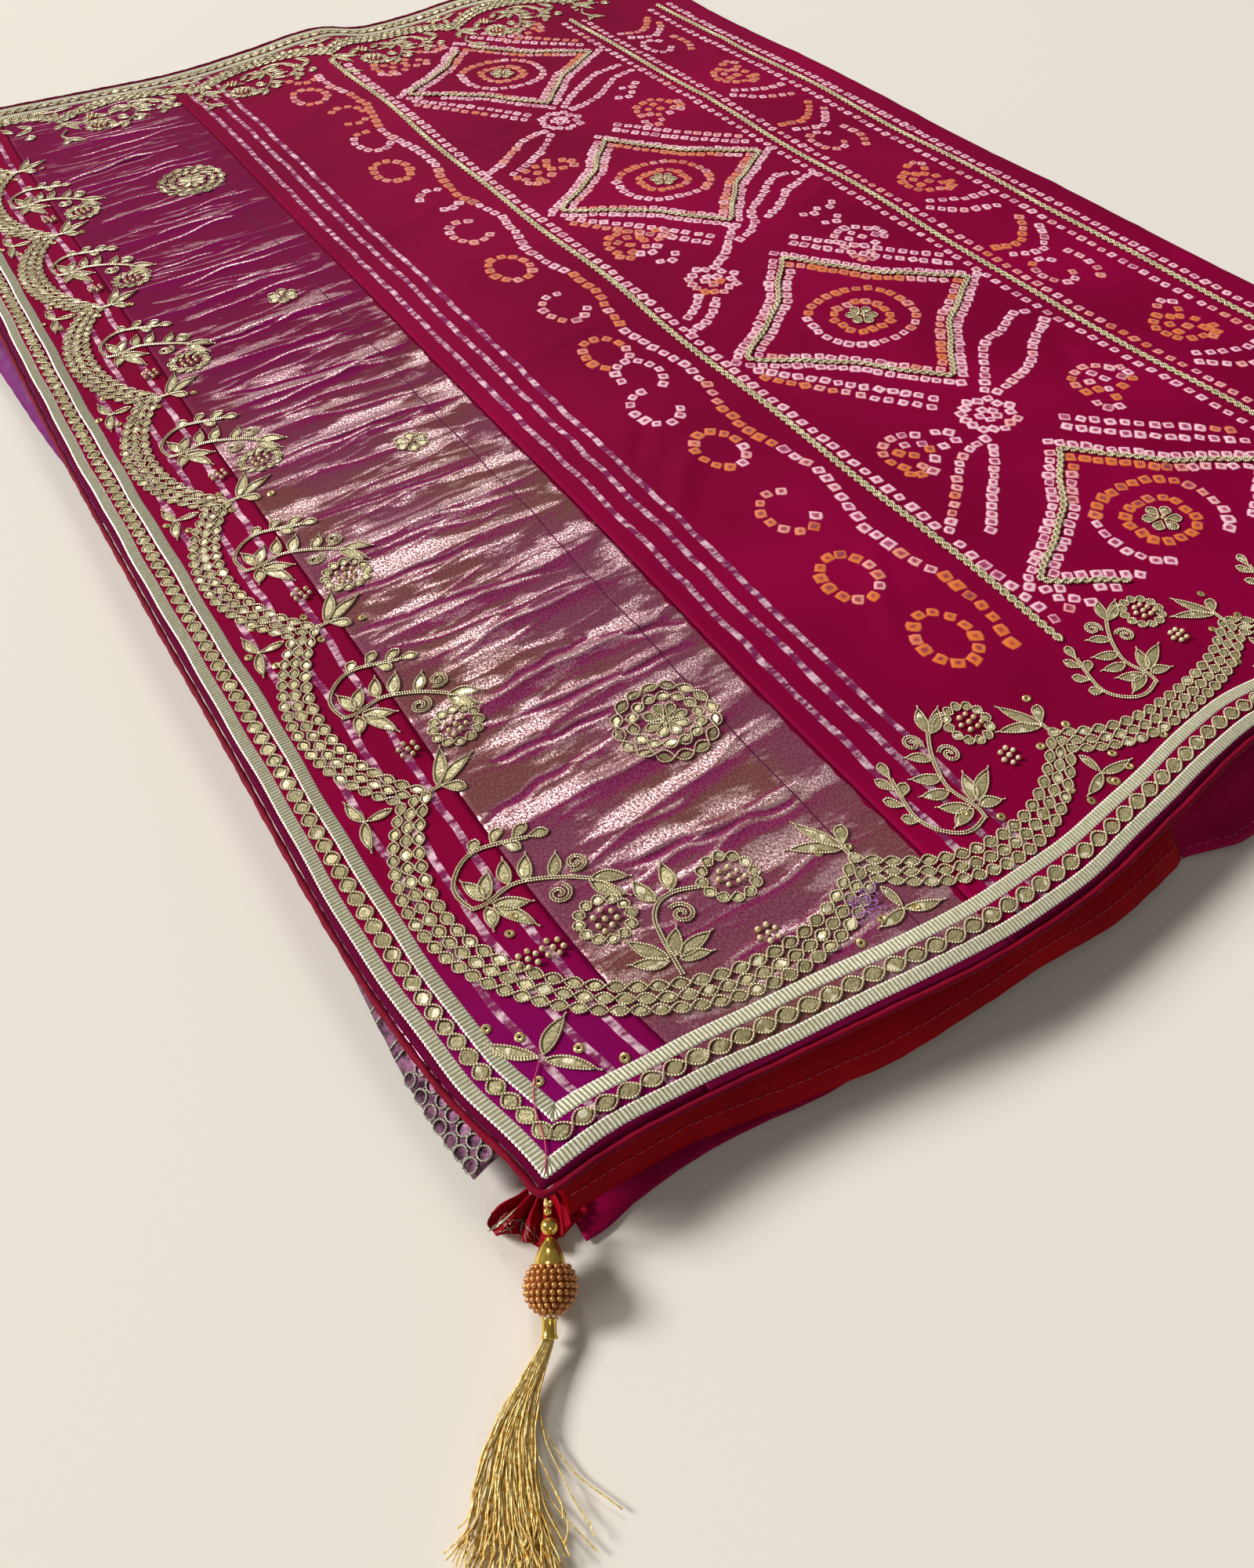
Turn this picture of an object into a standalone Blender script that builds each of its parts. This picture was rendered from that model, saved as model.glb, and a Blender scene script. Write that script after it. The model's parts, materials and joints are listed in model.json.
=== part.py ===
# Folded bandhani saree lying flat, pallu end uppermost, with its corner tassel
# Frame: origin at the centre of the folded cloth on the floor, +X along the saree's length away
# from the pallu end, +Y across its width to the far selvedge, +Z up. Lengths are metres.
import math

import bmesh
import bpy
import numpy as np
from mathutils import Vector

for old in list(bpy.data.objects):
    bpy.data.objects.remove(old, do_unlink=True)

MM = 0.001

# Sizes that drive the folded cloth
LENGTH = 0.775
WIDTH = 1.120
HEIGHT = 0.032
WALL = 0.0015
GAP = 0.0003
HEM = 0.0035
SEAM = 0.0005

# Places of the woven bands along the length, from the outer edge of the gota
PALLU_STRIP_END = 0.072
TISSUE_END = 0.218

# The turned fold at the end away from the pallu
FOLD_RADIUS = 0.0155
FOLD_START = LENGTH - FOLD_RADIUS
FOLD_TURN = math.radians(162.0)

# Gota border widths, from the outer edge inwards
RIBBON_WIDTH = 0.0058
CHAIN_FROM = 0.0066
CHAIN_TO = 0.0150
INNER_FROM = 0.0158
RIBBON_THICK = 0.0008

# Scallop band: low point and peak of its middle line, half width, and its corner turns
SCALLOP_LOW = 0.0315
SCALLOP_PEAK = 0.0550
SCALLOP_HALF = 0.0092
NEAR_TURN = 0.125
FAR_TURN = 0.080
PALLU_PEAKS = [0.190, 0.321, 0.452, 0.583, 0.714, 0.845, 0.975]
NEAR_PEAKS = [0.190, 0.321, 0.457, 0.593, 0.729]
FAR_PEAKS = [0.116, 0.242, 0.378, 0.514, 0.650]


# Edge shapes of the top sheet in millimetres: how far each edge bulges outwards, and how far
# the far edge is lifted off the layers below
PALLU_EDGE = {
    "across": [0, 50, 110, 170, 270, 370, 500, 620, 760, 900, 1000, 1070, 1120],
    "bulge": [0, 11, 17, 19, 19, 20, 20, 19, 16, 14, 12, 7, 0],
}
NEAR_EDGE = {
    "along": [0, 33, 66, 100, 146, 203, 269, 338, 404, 470, 540, 620, 700, 775],
    "bulge": [0, -1, 1, 5, 11, 18, 17, 7, -3, 0, 5, 2, 4, 0],
}
FAR_EDGE = {
    "along": [0, 75, 149, 228, 319, 391, 432, 492, 554, 640, 700, 775],
    "bulge": [0, 1, -5, -6, 1, 7, -3, 0, 4, 0, 3, 0],
    "lift": [0, 0, -0.5, -0.8, 2.0, 4.5, 0.6, 0.5, 2.5, 0.3, 1.6, 0],
}


def smooth_table(table, key, value, where):
    """Value at a place, curved smoothly through the table's points."""
    xs = table[key]
    ys = table[value]
    where = min(max(where, xs[0]), xs[-1])
    i = 0
    while i < len(xs) - 2 and where > xs[i + 1]:
        i += 1
    t = (where - xs[i]) / (xs[i + 1] - xs[i])
    before = ys[max(i - 1, 0)]
    after = ys[min(i + 2, len(ys) - 1)]
    slope_a = (ys[i + 1] - before) * 0.5
    slope_b = (after - ys[i]) * 0.5
    return (
        (2 * t**3 - 3 * t**2 + 1) * ys[i]
        + (t**3 - 2 * t**2 + t) * slope_a
        + (3 * t**2 - 2 * t**3) * ys[i + 1]
        + (t**3 - t**2) * slope_b
    )


def fade(distance, reach):
    """1 at an edge, falling smoothly to 0 at the given reach."""
    t = min(max(distance / reach, 0.0), 1.0)
    return 1.0 - t * t * (3.0 - 2.0 * t)


def spread(u, v):
    """Plan position of a point of the cloth from its flat place along and across."""
    pallu = smooth_table(PALLU_EDGE, "across", "bulge", v / MM) * MM
    near = smooth_table(NEAR_EDGE, "along", "bulge", u / MM) * MM
    far = smooth_table(FAR_EDGE, "along", "bulge", u / MM) * MM
    x = u - pallu * fade(u, 0.20)
    y = v - near * fade(v, 0.16) + far * fade(WIDTH - v, 0.16)
    return x - LENGTH / 2, y - WIDTH / 2


# Crosswise wrinkles pressed into the tissue: place across, height, how far they lean
WRINKLES = [
    {"across": 72, "rise": 0.8, "lean": 6, "half": 8},
    {"across": 101, "rise": 1.5, "lean": -8, "half": 9},
    {"across": 128, "rise": 1.0, "lean": 10, "half": 7},
    {"across": 152, "rise": 1.8, "lean": 14, "half": 9},
    {"across": 199, "rise": 1.3, "lean": 18, "half": 8},
    {"across": 226, "rise": 2.0, "lean": 12, "half": 10},
    {"across": 268, "rise": 1.4, "lean": -5, "half": 9},
    {"across": 297, "rise": 1.9, "lean": 16, "half": 9},
    {"across": 338, "rise": 1.2, "lean": 9, "half": 8},
    {"across": 371, "rise": 2.1, "lean": 15, "half": 11},
    {"across": 412, "rise": 1.1, "lean": -6, "half": 8},
    {"across": 476, "rise": 1.7, "lean": 12, "half": 10},
    {"across": 508, "rise": 1.0, "lean": 4, "half": 8},
    {"across": 549, "rise": 1.8, "lean": 13, "half": 10},
    {"across": 596, "rise": 1.3, "lean": -4, "half": 9},
    {"across": 633, "rise": 1.6, "lean": 8, "half": 9},
    {"across": 689, "rise": 1.2, "lean": 11, "half": 9},
    {"across": 731, "rise": 1.9, "lean": 15, "half": 10},
    {"across": 768, "rise": 1.0, "lean": -7, "half": 8},
    {"across": 807, "rise": 1.6, "lean": 9, "half": 10},
    {"across": 851, "rise": 0.9, "lean": 5, "half": 9},
    {"across": 917, "rise": 1.5, "lean": 8, "half": 10},
    {"across": 953, "rise": 1.1, "lean": -5, "half": 9},
    {"across": 1001, "rise": 1.3, "lean": 7, "half": 9},
    {"across": 1046, "rise": 0.8, "lean": 4, "half": 8},
]


def wrinkle_height(u, v):
    """Raised wrinkles of the tissue, flattened under the border at both selvedges."""
    inside = (u - PALLU_STRIP_END) / (TISSUE_END - PALLU_STRIP_END)
    if inside < 0.0 or inside > 1.0:
        return 0.0
    level = math.sin(math.pi * inside) ** 0.5
    total = 0.0
    for row in WRINKLES:
        middle = (row["across"] + row["lean"] * (inside - 0.5)) * MM
        off = abs(v - middle) / (row["half"] * MM)
        if off < 1.6:
            total += row["rise"] * MM * math.cos(math.pi * off / 3.2) ** 3
    return total * level


# Broad waves left in the cloth by folding: wavelength, direction, start and height
BROAD_WAVES = [
    {"length": 310, "turn": 72, "start": 0.6, "height": 0.9},
    {"length": 205, "turn": 12, "start": 2.1, "height": 0.6},
    {"length": 430, "turn": 118, "start": 4.0, "height": 0.8},
]


def sheet_height(u, v):
    """Height of the cloth's upper face above the floor at its flat place."""
    z = HEIGHT
    for wave in BROAD_WAVES:
        turn = math.radians(wave["turn"])
        phase = (u * math.cos(turn) + v * math.sin(turn)) / (wave["length"] * MM)
        z += wave["height"] * MM * math.sin(2 * math.pi * phase + wave["start"])
    z += 0.0010 * fade(v, 0.06) * math.sin(2 * math.pi * u / 0.171 + 0.9)
    z += 0.0009 * fade(u, 0.06) * math.sin(2 * math.pi * v / 0.236 + 2.3)
    z += smooth_table(FAR_EDGE, "along", "lift", u / MM) * MM * fade(WIDTH - v, 0.13)
    z -= 0.0012 * fade(v + HEM, 0.016) + 0.0012 * fade(u + HEM, 0.016)
    return z + wrinkle_height(u, v)


def lines(*spans):
    """Grid lines from spans of (start, end, cells)."""
    out = [spans[0][0]]
    for start, end, cells in spans:
        out += [start + (end - start) * k / cells for k in range(1, cells + 1)]
    return out


EDGE_LOW = -HEM
EDGE_HIGH = WIDTH + HEM
STRIP_ALONG = lines((-HEM, 0.012, 1), (0.012, PALLU_STRIP_END - SEAM / 2, 2))
STRIP_ACROSS = lines((EDGE_LOW, 0.02, 1), (0.02, 1.10, 36), (1.10, EDGE_HIGH, 1))
TISSUE_ALONG = lines((PALLU_STRIP_END + SEAM / 2, TISSUE_END - SEAM / 2, 5))
TISSUE_ACROSS = lines((EDGE_LOW, 0.04, 2), (0.04, 1.08, 63), (1.08, EDGE_HIGH, 2))
FIELD_ALONG = lines((TISSUE_END + SEAM / 2, FOLD_START, 12))
FIELD_ACROSS = lines((EDGE_LOW, 0.02, 1), (0.02, 1.10, 25), (1.10, EDGE_HIGH, 1))
FOLD_STEPS = 5

SHEET_GRIDS = [
    (STRIP_ALONG, STRIP_ACROSS),
    (TISSUE_ALONG, TISSUE_ACROSS),
    (FIELD_ALONG, FIELD_ACROSS),
]
GRID_HEIGHTS = [np.array([[sheet_height(u, v) for v in across] for u in along])
                for along, across in SHEET_GRIDS]


def top_of_cloth(u, v):
    """Height of the faceted upper face under a flat place."""
    if u < PALLU_STRIP_END:
        piece = 0
    elif u < TISSUE_END:
        piece = 1
    else:
        piece = 2
    along, across = SHEET_GRIDS[piece]
    heights = GRID_HEIGHTS[piece]
    u = min(max(u, along[0]), along[-1])
    v = min(max(v, across[0]), across[-1])
    i = min(max(int(np.searchsorted(along, u)) - 1, 0), len(along) - 2)
    j = min(max(int(np.searchsorted(across, v)) - 1, 0), len(across) - 2)
    s = (u - along[i]) / (along[i + 1] - along[i])
    t = (v - across[j]) / (across[j + 1] - across[j])
    low = heights[i, j] * (1 - t) + heights[i, j + 1] * t
    high = heights[i + 1, j] * (1 - t) + heights[i + 1, j + 1] * t
    return low * (1 - s) + high * s


def rest_on_cloth(u, v, reach):
    """Height at which a stitched piece lies clear of the cloth around a place."""
    best = 0.0
    for du in (-reach, 0.0, reach):
        for dv in (-reach, 0.0, reach):
            best = max(best, top_of_cloth(u + du, v + dv))
    return best + GAP


def fabric(name, colour, roughness, metallic):
    """Principled surface of one named material."""
    made = bpy.data.materials.new(name)
    made.use_nodes = True
    shader = made.node_tree.nodes["Principled BSDF"]
    shader.inputs["Base Color"].default_value = (*colour, 1.0)
    shader.inputs["Roughness"].default_value = roughness
    shader.inputs["Metallic"].default_value = metallic
    made.diffuse_color = (*colour, 1.0)
    return made


WINE = (0.262, 0.003, 0.050)
RED = (0.400, 0.004, 0.012)
MAGENTA = (0.330, 0.002, 0.110)
VIOLET = (0.175, 0.003, 0.150)
TISSUE = (0.240, 0.055, 0.120)
GOTA = (0.480, 0.400, 0.230)
SILVER_GOTA = (0.560, 0.540, 0.380)
BRASS = (0.560, 0.330, 0.070)
COPPER = (0.560, 0.190, 0.050)
THREAD = (0.520, 0.340, 0.090)


def finish_object(name, verts, faces, colour, roughness=0.7, metallic=0.0, smooth=False):
    """One closed solid made into a named object with its own material."""
    mesh = bpy.data.meshes.new(name)
    mesh.from_pydata([tuple(p) for p in verts], [], faces)
    work = bmesh.new()
    work.from_mesh(mesh)
    bmesh.ops.recalc_face_normals(work, faces=work.faces)
    work.to_mesh(mesh)
    work.free()
    if smooth:
        mesh.polygons.foreach_set("use_smooth", [True] * len(mesh.polygons))
    made = bpy.data.objects.new(name, mesh)
    bpy.context.scene.collection.objects.link(made)
    mesh.materials.append(fabric(name + " surface", colour, roughness, metallic))
    return made


def sheet_solid(name, top, bottom, colour, roughness=0.7, metallic=0.0):
    """Closed wall between two grids of points with the same rows and columns."""
    rows = len(top)
    cols = len(top[0])
    verts = [p for row in top for p in row] + [p for row in bottom for p in row]
    half = rows * cols
    faces = []
    for i in range(rows - 1):
        for j in range(cols - 1):
            a = i * cols + j
            b = a + 1
            c = a + cols + 1
            d = a + cols
            faces.append((a, b, c, d))
            faces.append((half + d, half + c, half + b, half + a))
    rim = list(range(cols))
    rim += [i * cols + cols - 1 for i in range(1, rows)]
    rim += [(rows - 1) * cols + j for j in range(cols - 2, -1, -1)]
    rim += [i * cols for i in range(rows - 2, 0, -1)]
    for k in range(len(rim)):
        a = rim[k]
        b = rim[(k + 1) % len(rim)]
        faces.append((a, half + a, half + b, b))
    return finish_object(name, verts, faces, colour, roughness, metallic, smooth=True)


def flat_sheet_points(along, across, drop):
    """Grid of points of one sheet piece, lowered by a drop."""
    rows = []
    for u in along:
        row = []
        for v in across:
            x, y = spread(u, v)
            row.append((x, y, sheet_height(u, v) - drop))
        rows.append(row)
    return rows


def fold_points(across, drop):
    """Rows that carry the cloth round the fold and under its edge."""
    rows = []
    for k in range(1, FOLD_STEPS + 1):
        turn = FOLD_TURN * k / FOLD_STEPS
        row = []
        for v in across:
            x, y = spread(FOLD_START, v)
            height = sheet_height(FOLD_START, v)
            radius = (height - 0.0005) / 2
            centre = 0.0005 + radius
            out = radius - drop
            row.append((x + out * math.sin(turn), y, centre + out * math.cos(turn)))
        rows.append(row)
    return rows


def build_sheets():
    """Plain pallu strip, woven tissue panel and tied-dyed field that turns at the fold."""
    sheet_solid(
        "pallu_end_cloth",
        flat_sheet_points(STRIP_ALONG, STRIP_ACROSS, 0.0),
        flat_sheet_points(STRIP_ALONG, STRIP_ACROSS, WALL),
        WINE, 0.62)
    sheet_solid(
        "zari_tissue_panel",
        flat_sheet_points(TISSUE_ALONG, TISSUE_ACROSS, 0.0),
        flat_sheet_points(TISSUE_ALONG, TISSUE_ACROSS, WALL),
        TISSUE, 0.38, 0.5)
    sheet_solid(
        "bandhani_field",
        flat_sheet_points(FIELD_ALONG, FIELD_ACROSS, 0.0) + fold_points(FIELD_ACROSS, 0.0),
        flat_sheet_points(FIELD_ALONG, FIELD_ACROSS, WALL) + fold_points(FIELD_ACROSS, WALL),
        WINE, 0.62)


# Hidden folds inside the stack: one rounded solid whose sides show the edges of the layers
PAD_INSET = 0.0125
PAD_LAYERS = 5


def lowest_underside():
    """Lowest point of the top sheet's underside over the stack that carries it."""
    low = HEIGHT
    for u in np.linspace(PAD_INSET, FOLD_START, 90):
        for v in np.linspace(PAD_INSET, WIDTH - PAD_INSET, 130):
            low = min(low, top_of_cloth(u, v))
    return low - WALL


PAD_TOP = lowest_underside() - GAP


def pad_outline(inset, shift):
    """Plan outline of one level of the stack, run round from the near pallu corner."""
    points = []
    corner = 0.020
    low = PAD_INSET + inset
    high = WIDTH - PAD_INSET - inset
    end = FOLD_START - inset
    stations = []
    for k in range(15):
        stations.append((low + corner + (end - low - corner) * k / 14, low, 0.0, 1.0))
    for k in range(1, 7):
        stations.append((end, low + (high - low) * k / 6, 0.0, 0.0))
    for k in range(1, 15):
        stations.append((end + (low + corner - end) * k / 14, high, 0.0, -1.0))
    for k in range(1, 4):
        turn = math.pi / 2 * k / 4
        stations.append((low + corner - corner * math.sin(turn),
                         high - corner + corner * math.cos(turn), 0.0, 0.0))
    for k in range(20):
        stations.append((low, high - corner + (low + corner * 2 - high) * k / 19, 1.0, 0.0))
    for k in range(1, 4):
        turn = math.pi / 2 * k / 4
        stations.append((low + corner - corner * math.cos(turn),
                         low + corner - corner * math.sin(turn), 0.0, 0.0))
    for u, v, nu, nv in stations:
        sway = 0.0016 * math.sin(2 * math.pi * (u + v) / 0.23 + shift)
        sway += 0.0010 * math.sin(2 * math.pi * (u + 2.0 * v) / 0.171 + 1.7 * shift)
        points.append(spread(u + nu * sway, v + nv * sway))
    return points


def build_pad():
    """Inner layers as one solid with a groove between neighbouring edges."""
    rings = []
    pitch = PAD_TOP / PAD_LAYERS
    for layer in range(PAD_LAYERS):
        shift = 1.9 * layer
        base = pitch * layer
        lean = 0.0016 * (PAD_LAYERS - 1 - layer) / (PAD_LAYERS - 1)
        for part, inset in ((0.02, 0.0024), (0.50, 0.0)):
            z = 0.0 if layer == 0 and part < 0.1 else base + pitch * part
            rings.append([(x, y, z) for x, y in pad_outline(inset - lean + 0.0016, shift)])
    rings.append([(x, y, PAD_TOP) for x, y in pad_outline(0.0034, 0.0)])
    count = len(rings[0])
    verts = [p for ring in rings for p in ring]
    faces = []
    for r in range(len(rings) - 1):
        for k in range(count):
            a = r * count + k
            b = r * count + (k + 1) % count
            faces.append((a, b, b + count, a + count))
    faces.append(tuple(range(count - 1, -1, -1)))
    faces.append(tuple(range((len(rings) - 1) * count, len(rings) * count)))
    finish_object("folded_layers", verts, faces, MAGENTA, 0.75)


def strip_on_cloth(name, stations, crest, colour, reach, roughness=0.4, metallic=0.6,
                   closed=False):
    """Stitched strip: stations carry a flat place, an inward direction and cross offsets.

    Each crest row gives a share of the way across and a height above the strip's underside.
    """
    verts = []
    for u, v, nu, nv, start, end in stations:
        middle = (start + end) / 2
        rest = max(rest_on_cloth(u + nu * c, v + nv * c, reach) for c in (start, middle, end))
        for share in (0.0, 1.0):
            c = start + (end - start) * share
            x, y = spread(u + nu * c, v + nv * c)
            verts.append((x, y, rest))
        for share, height in reversed(crest):
            c = start + (end - start) * share
            x, y = spread(u + nu * c, v + nv * c)
            verts.append((x, y, rest + height))
    size = 2 + len(crest)
    count = len(stations)
    faces = []
    loops = count if closed else count - 1
    for s in range(loops):
        nxt = (s + 1) % count
        for k in range(size):
            a = s * size + k
            b = s * size + (k + 1) % size
            c = nxt * size + (k + 1) % size
            d = nxt * size + k
            faces.append((a, b, c, d))
    if not closed:
        faces.append(tuple(range(size - 1, -1, -1)))
        faces.append(tuple(range((count - 1) * size, count * size)))
    return finish_object(name, verts, faces, colour, roughness, metallic)


LEG_END = FOLD_START - 0.004


def border_stations(start, end):
    """Mitred stations along the near selvedge, the pallu end and the far selvedge."""
    clear = 0.026
    along = [u for u in STRIP_ALONG[:-1] + TISSUE_ALONG + FIELD_ALONG[1:-1] if u > clear]
    along = [clear] + along + [LEG_END]
    across = [v for v in STRIP_ACROSS if clear < v < WIDTH - clear]
    across = [clear] + across + [WIDTH - clear]
    stations = [(u, 0.0, 0.0, 1.0, start, end) for u in reversed(along)]
    stations.append((0.0, 0.0, 1.0, 1.0, start, end))
    stations += [(0.0, v, 1.0, 0.0, start, end) for v in across]
    stations.append((0.0, WIDTH, 1.0, -1.0, start, end))
    stations += [(u, WIDTH, 0.0, -1.0, start, end) for u in along]
    return stations


def build_ribbons():
    """Two mitred gota ribbons with the twisted chain sewn between them."""
    flat = [(0.0, RIBBON_THICK), (1.0, RIBBON_THICK)]
    ridge = [(0.5, 0.0014)]
    strip_on_cloth("gota_ribbon_outer", border_stations(0.0, RIBBON_WIDTH), flat,
                   SILVER_GOTA, 0.002, 0.35, 0.7)
    strip_on_cloth("gota_ribbon_inner",
                   border_stations(INNER_FROM, INNER_FROM + RIBBON_WIDTH), flat,
                   SILVER_GOTA, 0.002, 0.35, 0.7)
    strip_on_cloth("gota_chain", border_stations(CHAIN_FROM, CHAIN_TO), ridge,
                   GOTA, 0.002)


def scallop_depth(place, first_low, peaks, last_low):
    """Middle line of the scallop band: low between the peaks, cusped at each of them."""
    marks = [first_low] + peaks + ([last_low] if last_low else [peaks[-1] + 0.136])
    share = 0.0
    for k in range(len(marks) - 1):
        if marks[k] <= place <= marks[k + 1]:
            t = (place - marks[k]) / (marks[k + 1] - marks[k])
            if k == 0:
                share = t
            elif last_low and k == len(marks) - 2:
                share = 1.0 - t
            else:
                share = abs(2.0 * t - 1.0)
    return SCALLOP_LOW + (SCALLOP_PEAK - SCALLOP_LOW) * share**2.2


def border_place(side, place, inward=0.0):
    """Flat place and inward direction at a distance in from the gota's outer edge."""
    if side == "near":
        return place, inward, 0.0, 1.0
    if side == "pallu":
        return inward, place, 1.0, 0.0
    return place, WIDTH - inward, 0.0, -1.0


def scallop_leg(side, start, end, step, peaks, first_low, last_low):
    """Stations of the scallop band along one straight side."""
    cells = max(round(abs(end - start) / step), 1)
    stations = []
    for k in range(cells + 1):
        place = start + (end - start) * k / cells
        middle = scallop_depth(place, first_low, peaks, last_low)
        stations.append(border_place(side, place) + (middle - SCALLOP_HALF, middle + SCALLOP_HALF))
    return stations


def scallop_turn(radius, centre, start, step):
    """Stations of the scallop band round a quarter turn at a corner."""
    reach = radius - SCALLOP_LOW
    cells = max(round(reach * math.pi / 2 / step), 5)
    stations = []
    for k in range(1, cells):
        angle = start - math.pi / 2 * k / cells
        du = math.cos(angle)
        dv = math.sin(angle)
        stations.append((centre[0] + reach * du, centre[1] + reach * dv, -du, -dv,
                         -SCALLOP_HALF, SCALLOP_HALF))
    return stations


def scallop_stations(step):
    """Stations of the triple gota row, fanned round both pallu corners."""
    far_turn = WIDTH - FAR_TURN
    stations = scallop_leg("near", LEG_END, NEAR_TURN, step, NEAR_PEAKS, NEAR_TURN, None)
    stations += scallop_turn(NEAR_TURN, (NEAR_TURN, NEAR_TURN), -math.pi / 2, step)
    stations += scallop_leg("pallu", NEAR_TURN, far_turn, step, PALLU_PEAKS, NEAR_TURN, far_turn)
    stations += scallop_turn(FAR_TURN, (FAR_TURN, far_turn), math.pi, step)
    stations += scallop_leg("far", FAR_TURN, LEG_END, step, FAR_PEAKS, FAR_TURN, None)
    return stations


def build_scallops():
    """Scallop band with its three raised rows of gota."""
    rows = [(0.0, 0.0006), (0.18, 0.0014), (0.82, 0.0014), (1.0, 0.0006)]
    strip_on_cloth("gota_scallop_band", scallop_stations(0.0145), rows, GOTA, 0.004)


# One spray in its own frame, millimetres: right along the border, inward from the gota's outer
# edge, and the half width there. It runs from the tip of the drop branch to the rosette.
SPRAY = {
    "right": [-18, -20, -23, -26, -26, -25, -17, -6, 1.5, 3.0, 0, 1, 4, 9, 14, 18, 23, 27.5,
              30.7, 31.9, 33.8, 36.2, 38.6, 40.6, 41.8],
    "inward": [91, 86, 79, 72, 64, 57, 49.5, 47, 52, 59, 66, 73, 80, 86.5, 91, 95.5, 99.5, 100.5,
               97.6, 95.4, 92.0, 87.7, 83.4, 79.8, 77.6],
    "half": [0.9, 3.4, 1.3, 3.6, 1.2, 1.2, 1.3, 1.6, 6.0, 4.6, 1.5, 5.0, 1.6, 6.2, 1.8, 3.6, 1.5,
             2.6, 2.0, 7.4, 11.4, 13.0, 11.4, 7.4, 2.6],
}
UPRIGHT = {
    "right": [97.5, 99, 101, 101.5, 104, 109, 117, 124, 127.5, 130.0, 134.2, 140.0, 145.8, 150.0,
              152.5],
    "inward": [48, 53.5, 60, 67, 74, 80, 82.5, 80, 78.6, 78.0, 77.6, 77.2, 76.8, 76.6, 76.4],
    "half": [1.5, 5.8, 4.4, 1.3, 1.3, 4.6, 3.4, 1.4, 2.2, 8.0, 12.0, 13.6, 12.0, 8.0, 2.2],
}


def spray_stations(table, side, middle):
    """Stations of a spray drawn about a place of one side, seen from that side."""
    mirror = 1.0 if side == "near" else -1.0
    half = table["half"]
    points = []
    for right, inward in zip(table["right"], table["inward"]):
        points.append(border_place(side, middle + mirror * right * MM, inward * MM)[:2])
    stations = []
    for k, (u, v) in enumerate(points):
        before = points[max(k - 1, 0)]
        after = points[min(k + 1, len(points) - 1)]
        du = after[0] - before[0]
        dv = after[1] - before[1]
        size = math.hypot(du, dv)
        stations.append((u, v, -dv / size, du / size, -half[k] * MM, half[k] * MM))
    return stations


def build_sprays():
    """Leafy sprays with their rosettes, one inside each scallop and two at the corner."""
    ridge = [(0.5, 0.0016)]
    middles = []
    for a, b in zip(PALLU_PEAKS[:-1], PALLU_PEAKS[1:]):
        middles.append(("pallu", (a + b) / 2))
    middles.append(("pallu", 0.121))
    for a, b in zip(NEAR_PEAKS[:-1], NEAR_PEAKS[1:]):
        middles.append(("near", (a + b) / 2))
    for a, b in zip(FAR_PEAKS[:-1], FAR_PEAKS[1:]):
        middles.append(("far", (a + b) / 2))
    counts = {"pallu": 0, "near": 0, "far": 0}
    for side, middle in middles:
        counts[side] += 1
        name = f"spray_{side}_{counts[side]}"
        strip_on_cloth(name, spray_stations(SPRAY, side, middle), ridge, GOTA, 0.003)
    strip_on_cloth("spray_corner", spray_stations(UPRIGHT, "near", 0.0), ridge, GOTA, 0.003)


# Stitched discs: centre along and across, radius, petals round the edge
MEDALLIONS = [
    {"name": "medallion_near", "along": 168, "across": 165, "radius": 27.0, "petals": 12},
    {"name": "medallion_far", "along": 172, "across": 876, "radius": 27.0, "petals": 12},
]
SMALL_FLOWERS = [
    {"name": "flower_near", "along": 165, "across": 447, "radius": 10.5, "petals": 6},
    {"name": "flower_far", "along": 165, "across": 660, "radius": 10.5, "petals": 6},
]
DIAMONDS = [
    {"name": "diamond_1", "along": 496, "across": 137, "half_along": 98, "half_across": 80},
    {"name": "diamond_2", "along": 498, "across": 408, "half_along": 101, "half_across": 92},
    {"name": "diamond_3", "along": 500, "across": 663, "half_along": 98, "half_across": 92},
    {"name": "diamond_4", "along": 497, "across": 934, "half_along": 98, "half_across": 84},
]


def disc_on_cloth(name, along, across, radius, petals, rings):
    """Petalled disc with raised rings, lying on the cloth."""
    count = petals * 2
    base = 0.0
    for k in range(count):
        turn = 2 * math.pi * k / count
        for share in (0.5, 1.0):
            base = max(base, rest_on_cloth(along + radius * share * math.cos(turn),
                                           across + radius * share * math.sin(turn), 0.004))
    base = max(base, rest_on_cloth(along, across, 0.006))
    verts = []
    for share, height in [(1.0, 0.0), (1.0, 0.0007)] + rings:
        for k in range(count):
            turn = 2 * math.pi * k / count
            size = radius * share * (1.0 if k % 2 else 0.88)
            x, y = spread(along + size * math.cos(turn), across + size * math.sin(turn))
            verts.append((x, y, base + height))
    x, y = spread(along, across)
    verts.append((x, y, base + rings[-1][1] + 0.0004))
    tip = len(verts) - 1
    loops = len(rings) + 2
    faces = [tuple(range(count - 1, -1, -1))]
    for r in range(loops - 1):
        for k in range(count):
            a = r * count + k
            b = r * count + (k + 1) % count
            faces.append((a, b, b + count, a + count))
    for k in range(count):
        a = (loops - 1) * count + k
        b = (loops - 1) * count + (k + 1) % count
        faces.append((a, b, tip))
    finish_object(name, verts, faces, GOTA, 0.4, 0.6)


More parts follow.
